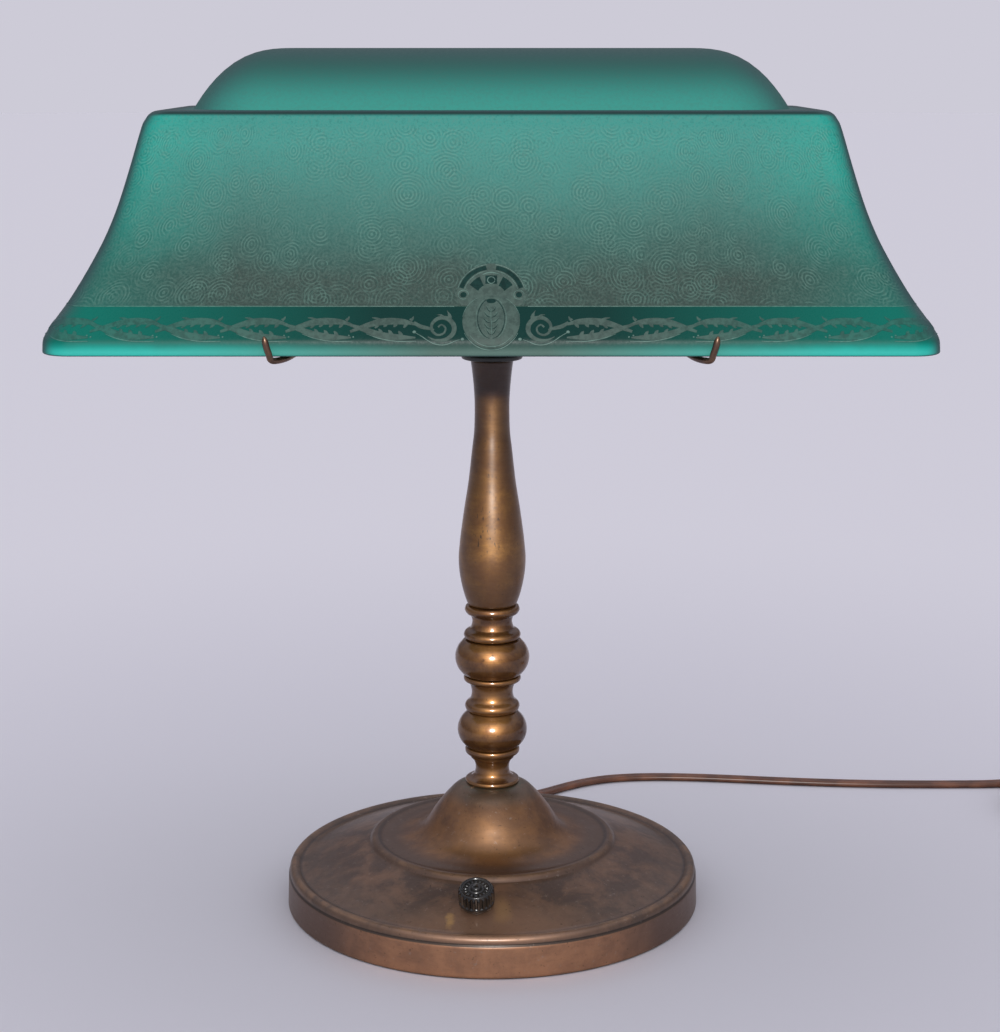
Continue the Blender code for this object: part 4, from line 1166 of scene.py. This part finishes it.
def make_knob():
    """The ribbed knob: a plain flange, 22 ribs, and a top with a rim, a ring of studs and a button."""
    steps = KNOB_RIBS * 12
    turns = [math.tau * k / steps for k in range(steps)]
    grooves = [1 - min(1.0, max(0.0, 0.5 + 1.3 * math.cos(KNOB_RIBS * turn))) for turn in turns]
    lumps = [max(0.0, math.cos(KNOB_DOTS * turn)) ** 0.7 for turn in turns]
    rows = [[(r - RIB_DEEP * share * groove, z) for groove in grooves] for r, z, share in KNOB_SIDE]
    rows += [[(r, TOP_Z + DOT_HIGH * share * lump) for lump in lumps] for r, share in KNOB_STUDS]
    rows += [[spot] * steps for spot in KNOB_BUTTON]
    place = round_axis(SWITCH_AT, SWITCH_AXIS)
    points = [place(r, turn, z) for row in rows for turn, (r, z) in zip(turns, row)]
    last = (len(rows) - 1) * steps
    faces = [tuple(range(steps)), tuple(range(last, last + steps))]
    for row in range(0, last, steps):
        faces += bridge(row, row + steps, steps)
    knob = add_mesh("switch_knob_ribbed", points, faces, BAKELITE, SWITCH, 48.0)
    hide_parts("switch_knob")


make_knob()
for node, material, slot, body in (
    ("switch_bushing", STEEL, "brass", LAMP),
    ("switch_housing", BAKELITE, "bakelite", LAMP),
    ("switch_base", FIBRE, "fibre", LAMP),
    ("switch_rotor", BAKELITE, "bakelite", SWITCH),
    ("switch_shaft", STEEL, "steel", SWITCH),
):
    respun(node, material, SWITCH_AT, SWITCH_AXIS, body, 64)
CORD_OUT = (math.cos(CORD_TURN), math.sin(CORD_TURN), 0)
respun("cord_bushing", BAKELITE, (0, 0, CORD_OUT_Z), CORD_OUT, steps=64)
respun("plug_body", BAKELITE, (314.6, 72.9, 9.4), (0, -1, 0), steps=96)

# CAD nodes that stay as they are, with materials of their own
for material, nodes in (
    (IRON, ["base_weight"]),
    (STEEL, ["center_pipe", "pipe_washer", "pipe_nut", "switch_nut", "plug_blade_left", "plug_blade_right"]),
    (FIBRE, ["cord_tie"]),
    (CORD_BROWN, ["supply_lead", "switch_lead", "riser_leads", "left_socket_lead", "right_socket_lead"]),
):
    for node in nodes:
        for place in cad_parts[node].material_slots:
            place.material = material

tuple(c * MM for c in CORD_ROUTE[0])
[tuple(c * MM for c in p) for p in cord_line]


# ---- stage and lights


def make_floor():
    """A pale cloth-like floor, a little deeper in tone round the lamp."""
    paint = Paint("pale_cloth", roughness=0.95, specular_ior_level=0.1)
    x, y, _ = paint.axes()
    tone = paint.mix(x.hypot(y).span(0.25, 0.75), (0.85, 0.845, 0.87), (0.94, 0.935, 0.945))
    paint.set(base_color=tone, normal=paint.bump(paint.noise(1400.0, 2.0), 0.15, 0.0003))
    mesh = bpy.data.meshes.new("floor")
    work = bmesh.new()
    bmesh.ops.create_circle(work, cap_ends=True, segments=96, radius=14.0)
    work.to_mesh(mesh)
    work.free()
    mesh.materials.append(paint.material)
    floor = bpy.data.objects.new("floor", mesh)
    scene.collection.objects.link(floor)
    return floor


def make_world():
    """Light mostly from above, with a flat pale background to look at."""
    world = bpy.data.worlds.new("studio")
    scene.world = world
    world.use_nodes = True
    world.node_tree.nodes.clear()
    sky = Nodes(world.node_tree)
    up = sky.axes(sky.node("TexCoord").outputs["Generated"])[2]
    light = sky.node("Background", {"Color": (0.98, 0.96, 1.09), "Strength": up.span(-0.05, 1.0, 0.20, 0.86)})
    wall = sky.node("Background", {"Color": linear(205, 203, 215)})
    seen = sky.node("LightPath").outputs["Is Camera Ray"]
    both = sky.node("MixShader", {0: seen, 1: light.outputs[0], 2: wall.outputs[0]})
    sky.node("OutputWorld", {"Surface": both.outputs[0]})


FLASH_AT, FLASH_AIM = (0.0, -0.98, 0.553), (0.0, 0.0, 0.17)
FLASH_SIZE, FLASH_COLOUR = 0.07, (1.0, 0.98, 0.95)


def flash_light(name, power, state, pieces):
    """A small flash above the camera that lights only the given pieces (INCLUDE), or all others (EXCLUDE)."""
    data = bpy.data.lights.new(name, "AREA")
    data.shape = "DISK"
    data.size, data.energy, data.color = FLASH_SIZE, power, FLASH_COLOUR
    light = bpy.data.objects.new(name, data)
    light.location = FLASH_AT
    light.rotation_euler = (Vector(FLASH_AIM) - Vector(FLASH_AT)).to_track_quat("-Z", "Y").to_euler()
    scene.collection.objects.link(light)
    listed = bpy.data.collections.new("listed_by_" + name)
    for piece in pieces:
        listed.objects.link(piece)
    for entry in listed.collection_objects:
        entry.light_linking.link_state = state
    light.light_linking.receiver_collection = listed


make_world()
flash_light("flash", 9.6, "EXCLUDE", [make_floor()])
flash_light("column_gleam", 18.0, "INCLUDE", COLUMN)
scene.view_settings.view_transform = "Standard"
